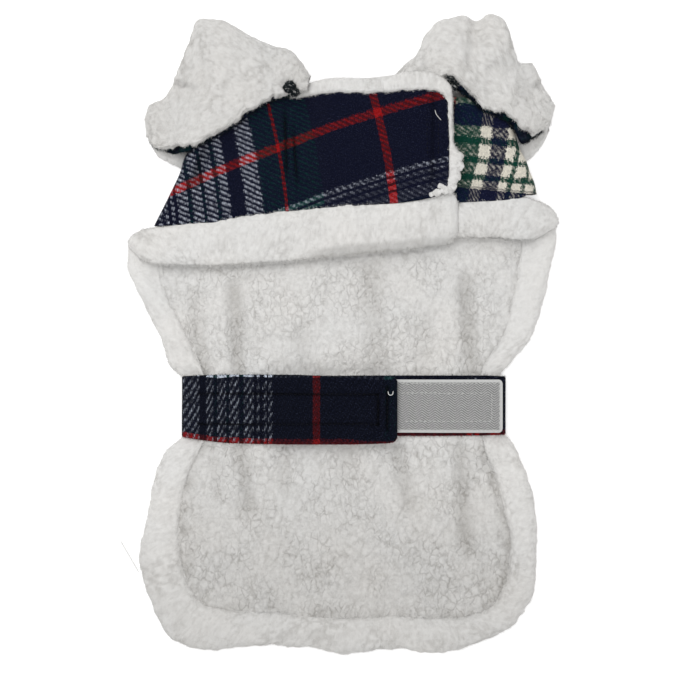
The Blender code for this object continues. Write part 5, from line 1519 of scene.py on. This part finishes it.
def sewSeams(name, piece, seams, height, material, seed=5):
    # stitches along lines on a piece: each is a short tapered six-sided rod that sinks into the cloth at both
    # ends and strays and leans a little at random
    length, pitch = stitch["length"], stitch["length"] + stitch["space"]
    generator = np.random.default_rng(seed)
    points, faces = [], []
    turn = np.linspace(0, 2 * np.pi, 7)[:-1]
    for start, end in np.array(seams):
        total = np.linalg.norm(end - start)
        ahead = (end - start) / total
        square = np.array([-ahead[1], ahead[0]])
        for k in range(int(total / pitch)):
            middle = start + ahead * ((k + 0.5) * pitch) + square * generator.normal(0, stitch["astray"])
            tilt = stitch["skew"] * generator.normal(0, 1.0)
            lie = ahead * math.cos(tilt) + square * math.sin(tilt)
            beside = np.array([-lie[1], lie[0]])
            rings = []
            for along, thick, stands in stitchRings:
                centre = middle + lie * along * length
                z = height(np.array([centre[0]]), np.array([centre[1]]))[0] + stands + stitch["lift"]
                radius = stitch["radius"] * thick
                ringXY = centre[None, :] + beside[None, :] * (radius * np.cos(turn))[:, None]
                rings.append(np.column_stack([ringXY, z + radius * np.sin(turn)]))
            first = len(points) * 30
            faces += (np.array(tubeFaces(5, 6)[:-2]) + first).tolist()
            faces += [[first + k for k in range(6)][::-1], [first + 24 + k for k in range(6)]]
            points.append(np.concatenate(rings))
    follow(addPiece(name, np.concatenate(points), faces, material), piece)


def addThread(name, piece, route, radius, rings=24):
    # a fine round white thread along a smooth route
    route = np.array(route, float)
    length = summed(np.linalg.norm(np.diff(route, axis=0), axis=1))
    line = joined(*(curve(np.linspace(0, length[-1], rings), length, column) for column in route.T))
    ahead = unit(np.gradient(line, axis=0))
    beside = unit(np.cross(ahead, np.array([0.3, 0.2, 1.0])))
    over = np.cross(beside, ahead)
    turn = np.linspace(0, 2 * np.pi, 9)[:-1][None, :, None]
    fromEnd = np.minimum(np.arange(rings), rings - 1 - np.arange(rings))
    taper = np.minimum(1.0, fromEnd / 2 + 0.3)[:, None, None]
    around = beside[:, None, :] * np.cos(turn) + over[:, None, :] * np.sin(turn)
    points = line[:, None, :] + radius * taper * around
    follow(addPiece(name, points, tubeFaces(rings, 8), whiteThread), piece)


def addFuzz(name, piece, ground, kind, material, seed):
    # loose pile ends: ribbons of a root, a middle and a tip that lean and bend at random from the piece's
    # faces; ground is the points they grow from and the way out of each
    count, length, width = fuzzLooks[kind]
    generator = np.random.default_rng(seed)
    places, normals = (table.reshape(-1, 3) for table in ground)
    pick = generator.integers(0, len(places), count)
    normal = normals[pick]
    root = places[pick] + generator.normal(0, 0.5, (count, 3)) * (1 - np.abs(normal))
    side = unit(generator.normal(0, 1, (count, 3)))
    side = unit(side - normal * (side * normal).sum(axis=1, keepdims=True))
    bend = unit(np.cross(normal, side))
    long = generator.uniform(*length, (count, 1))
    up, out = 1.0 / math.hypot(1, pileLean), pileLean / math.hypot(1, pileLean)
    lowest = root - normal * 0.3
    middle = root + (normal * up + side * out) * long * 0.5
    tip = middle + unit(normal * up * generator.uniform(0.0, 1.0, (count, 1)) + side * out
                        + bend * generator.normal(0, 0.7, (count, 1))) * long * 0.5
    thin = generator.uniform(*width, (count, 1)) / 2
    ribbon = np.stack([lowest - bend * thin, lowest + bend * thin, middle + bend * thin * 0.9,
                       middle - bend * thin * 0.9, tip], axis=1)
    ribbon[..., 2] = np.maximum(ribbon[..., 2], 0.05)
    first = np.arange(count)[:, None] * 5
    faces = (first + np.array([[0, 1, 2, 3]])).tolist() + (first + np.array([[3, 2, 4]])).tolist()
    follow(addPiece(name, ribbon, faces, material, hollow=0 * ribbon[..., 0]), piece)


fuzzLooks = {
    # how many pile ends, shortest and longest, thinnest and widest
    "lining": (16000, (0.9, 2.0), (0.1, 0.2)),
    "border": (19000, (0.8, 1.9), (0.1, 0.22)),
    "band": (7000, (0.7, 1.8), (0.12, 0.24)),
    "strip": (5200, (0.8, 2.2), (0.12, 0.24)),
    "collar": (7600, (0.6, 1.5), (0.12, 0.24)),
    "seam": (3300, (1.2, 2.8), (0.14, 0.28)),
    "whiteEdge": (1500, (1.0, 2.5), (0.12, 0.26)),
    "backCollar": (5000, (1.1, 2.6), (0.12, 0.24)),
    "tuft": (420, (0.8, 2.4), (0.16, 0.34)),
    "fleck": (170, (0.7, 2.0), (0.2, 0.4)),
    "beltEdge": (700, (0.7, 1.6), (0.12, 0.24)),
    "plaidEdge": (1500, (1.0, 2.4), (0.14, 0.3)),
}
pileLean = 0.9      # how far the pile ends lean out for each part that they stand up


def addTufts(name, piece, rows, material, seed):
    # lumps: spheres squeezed to each row's half sizes, their surface moved in and out by swirls; returns
    # their points and which way is out of them
    turn = np.linspace(0.0, 2 * np.pi, 33)[:-1][None, :]
    tilt = np.linspace(0.05, np.pi - 0.05, 20)[:, None]
    ball = joined(np.sin(tilt) * np.cos(turn), np.sin(tilt) * np.sin(turn), np.cos(tilt))
    points, faces = [], []
    for x, y, z, wide, tall, high in rows:
        centre = np.array([x, y, z])
        lump = ball * np.array([wide, tall, high]) + centre
        swollen = 1.0 + 0.18 * swirls(lump, 2.6, seed) + 0.12 * swirls(lump, 1.1, seed + 1)
        lump = centre + (lump - centre) * swollen[..., None]
        first = len(points) * ball[..., 0].size
        faces += [[first + corner for corner in face] for face in tubeFaces(*ball.shape[:2])]
        points.append(lump.reshape(-1, 3))
    points = np.concatenate(points)
    shade = np.clip(0.3 - 0.5 * swirls(points, 2.6, seed), 0.0, 0.5)
    follow(addPiece(name, points, faces, material, hollow=shade), piece)
    return points, np.tile(ball.reshape(-1, 3), (len(rows), 1))


# in metres: height and centre of the camera, width that it shows and the height at which it shows it
view = {"height": 1.5, "centre": (0.0049, -0.01015), "shown": 0.49, "at": 0.010}
sensor = 36.0
# place, size, energy
lights = {"key": ((-0.5, 0.6, 1.35), 1.4, 14.6), "fill": ((0.7, -0.8, 1.5), 1.6, 8.5)}
paperLook = {"half": 6.0, "down": 0.0003, "tone": 0.93, "glow": 0.36}
skyStrength = 0.52


def setStage():
    collection = bpy.context.scene.collection
    camera = bpy.data.objects.new("camera", bpy.data.cameras.new("camera"))
    camera.location = (*view["centre"], view["height"])
    camera.data.sensor_width = sensor
    camera.data.lens = sensor * (view["height"] - view["at"]) / view["shown"]
    collection.objects.link(camera)
    bpy.context.scene.camera = camera

    mesh = bpy.data.meshes.new("floor")
    half = paperLook["half"]
    corners = [(-half, -half, 0), (half, -half, 0), (half, half, 0), (-half, half, 0)]
    mesh.from_pydata(corners, [], [(0, 1, 2, 3)])
    floor = bpy.data.objects.new("floor", mesh)
    floor.location = (0, 0, -paperLook["down"])
    paper = Shader("white paper", roughness=0.9)
    paper.surface.inputs["Base Color"].default_value = (*(paperLook["tone"],) * 3, 1.0)
    paper.surface.inputs["Emission Color"].default_value = (1.0, 1.0, 1.0, 1.0)
    paper.surface.inputs["Emission Strength"].default_value = paperLook["glow"]
    mesh.materials.append(paper.material)
    collection.objects.link(floor)

    for name, (place, size, energy) in lights.items():
        lamp = bpy.data.objects.new(name, bpy.data.lights.new(name, "AREA"))
        lamp.data.size = size
        lamp.data.energy = energy
        lamp.location = place
        lamp.rotation_euler = (-Vector(place)).to_track_quat("-Z", "Y").to_euler()
        collection.objects.link(lamp)
    world = bpy.data.worlds.new("studio")
    world.use_nodes = True
    world.node_tree.nodes["Background"].inputs[0].default_value = (1.0, 1.0, 1.0, 1.0)
    world.node_tree.nodes["Background"].inputs[1].default_value = skyStrength
    bpy.context.scene.world = world
    bpy.context.scene.view_settings.view_transform = "Standard"


# shallow puckers of the left flap, as the folds above
leftPuckers = [
    (-40.2, 148.0, -39.4, 118.0, 1.4, 0.9), (-34.0, 135.0, -32.4, 113.0, 1.4, 0.8),
    (62.0, 160.0, 62.0, 112.0, 2.0, 0.5), (-96.0, 150.0, -104.0, 110.0, 7.0, 0.7),
    (10.0, 168.0, 6.0, 120.0, 14.0, -0.5),
]
# where the under-collars show: section of the fall, how far they come out there (partly the real plaid
# face, partly dark cloth pushed out into the deep shade under the falls as a painted shadow); and their
# loose tufts: place, half sizes
leftShown = [(0, 0.3), (1.4, 0.5), (2.1, 3.2), (2.8, 2.8), (3.4, 1.2), (9, 1.3), (11, 0.6)]
rightShown = [
    (2, 4), (3, 8), (3.6, 8.5), (4.2, 5.5), (5, 2.4), (7, 1.4), (8, 3.0), (9.5, 3.6), (10.6, 9.5),
    (11.3, 6.5), (12, 1.5), (13, 0.3),
]
leftTufts = [(-36.8, 171.4, 29.6, 4.6, 4.4, 2.6), (-33.4, 168.0, 29.0, 3.4, 3.0, 2.2)]
rightTufts = [(74.6, 178.0, 24.0, 3.2, 2.6, 2.0), (77.4, 172.6, 23.0, 2.6, 3.2, 2.0)]

# sewn lines: start, end
flapSeams = [
    ((-40.6, 148.8), (-39.4, 116.5)), ((-34.4, 136.2), (-32.4, 111.6)), ((58.1, 153.6), (58.4, 124.2)),
    ((65.8, 153.6), (66.0, 124.2)),
]
upperLeft, upperRight, lowerLeft, lowerRight = (
    (stitchRows[x], stitchRows[y]) for y in ("upper", "lower") for x in ("from", "to"))
beltSeams = [
    (upperLeft, upperRight), (lowerRight, lowerLeft), (upperRight, lowerRight),
    ((bartack[0], bartack[1]), (bartack[0], bartack[2])),
]
hookSeamsDark = [
    ((40.5, -33.8), (110.0, -33.8)), ((104.0, -40.2), (104.0, -60.0)), ((110.0, -66.6), (40.5, -66.6)),
]
hookSeamsLight = [
    ((40.5, -40.2), (104.0, -40.2)), ((104.0, -59.9), (40.5, -59.9)), ((109.2, -33.8), (109.2, -66.6)),
]

# loose threads: their route and radius
flapThread = [(63.7, 155.8, 28.9), (64.2, 153.4, 29.6), (65.8, 150.9, 29.8), (67.9, 148.8, 28.9)], 0.2
beltThread = [
    (31.4, -38.9, 17.2), (31.8, -41.0, 17.6), (33.2, -41.6, 17.8), (34.6, -40.9, 17.6), (35.0, -38.8, 17.2),
], 0.26
borderWisp = [(-157.0, -143.8, 1.0), (-154.0, -149.0, 1.4), (-149.8, -156.0, 2.2), (-143.5, -166.5, 4.0)], 0.5


def flapTop(x, y):
    return leftFlapFloor(x, y) + shellTop - 0.15


def beltTop(x, y):
    return leftStrapFloor(x) + layers["strap"] - 0.35


def hookTop(x, y):
    return beltTapeFloor(x, y) + layers["tape"] - 0.1


print("coat: stage")
setStage()
print("coat: back")
buildBack()
print("coat: borders")
borderLap = layers["shell"] + gap + layers["pile"] - layers["beltSqueeze"]
bodyRollPiece = buildRoll("body_border_sherpa", "border_body", bodyBorder, groundAt, 9.0, "border", 11, 0.07,
                          borderLap)
buildRoll("left_band_sherpa", "left_flap_border", leftFlapBorder, leftBandFloor, 7.0, "band", 17, 0.05)
buildRoll("right_band_sherpa", "right_flap_border", rightFlapBorder, rightFlapFloor, 9.0, "band", 19, 0.05)
print("coat: flaps")
leftFlap = buildFlap(-1, leftFold, leftFlapBorder, leftFlapNeck, leftFlapEnd, leftFlapFloor, leftFlapCloth,
                     leftPuckers)
buildFlap(1, rightFold, rightFlapBorder, rightFlapNeck, rightFlapEnd, rightFlapFloor, rightFlapCloth, [])
buildEdgeStrip()
print("coat: collar")
buildFall(-1, leftCollar, leftFold, leftFlapNeck, leftFlapFloor, leftCreases, 23)
buildFall(1, rightCollar, rightFold, rightFlapNeck, rightFlapFloor, rightCreases, 29)
buildBackCollar()
buildUnderCollar(-1, leftCollar, leftFold, leftFlapNeck, leftFlapFloor, 0.4, 9.6, leftShown, leftTufts)
buildUnderCollar(1, rightCollar, rightFold, rightFlapNeck, rightFlapFloor, 2.0, 12.6, rightShown, rightTufts)
print("coat: belt and tapes")
leftBelt = buildStrap("left_strap_plaid", leftStrap, leftStrapFloor, "belt_left",
                      leftGrooves, beltCloth)
buildStrap("right_strap_plaid", rightStrap, strapFloor, "belt_right", {}, rightBeltCloth)
hookFace = buildTape("belt_hook_tape_face", "belt_hook_tape", hookTape, beltTapeFloor, 0.46, hookRelief)
buildTape("belt_loop_tape_face", "belt_loop_tape", loopTape, onTape(beltTapeFloor), 1.0, loopRelief)
buildTape("chest_loop_tape_face", "chest_loop_tape", loopTape, chestTapeFloor, 1.0, loopRelief)
buildTape("chest_hook_tape_face", "chest_hook_tape", hookTape, onTape(chestTapeFloor), 1.0, hookRelief)
print("coat: sewing")
sewSeams("flap_stitches", leftFlap, flapSeams, flapTop, darkThread)
addThread("flap_loose_thread", leftFlap, *flapThread)
sewSeams("belt_stitches", leftBelt, beltSeams, beltTop, darkThread)
addThread("belt_loose_thread", leftBelt, *beltThread)
addThread("border_loose_wisp", bodyRollPiece, *borderWisp)
sewSeams("hook_tape_stitches_dark", hookFace, hookSeamsDark, hookTop, greyThread, seed=6)
sewSeams("hook_tape_stitches_light", hookFace, hookSeamsLight, hookTop, greyThread, seed=7)
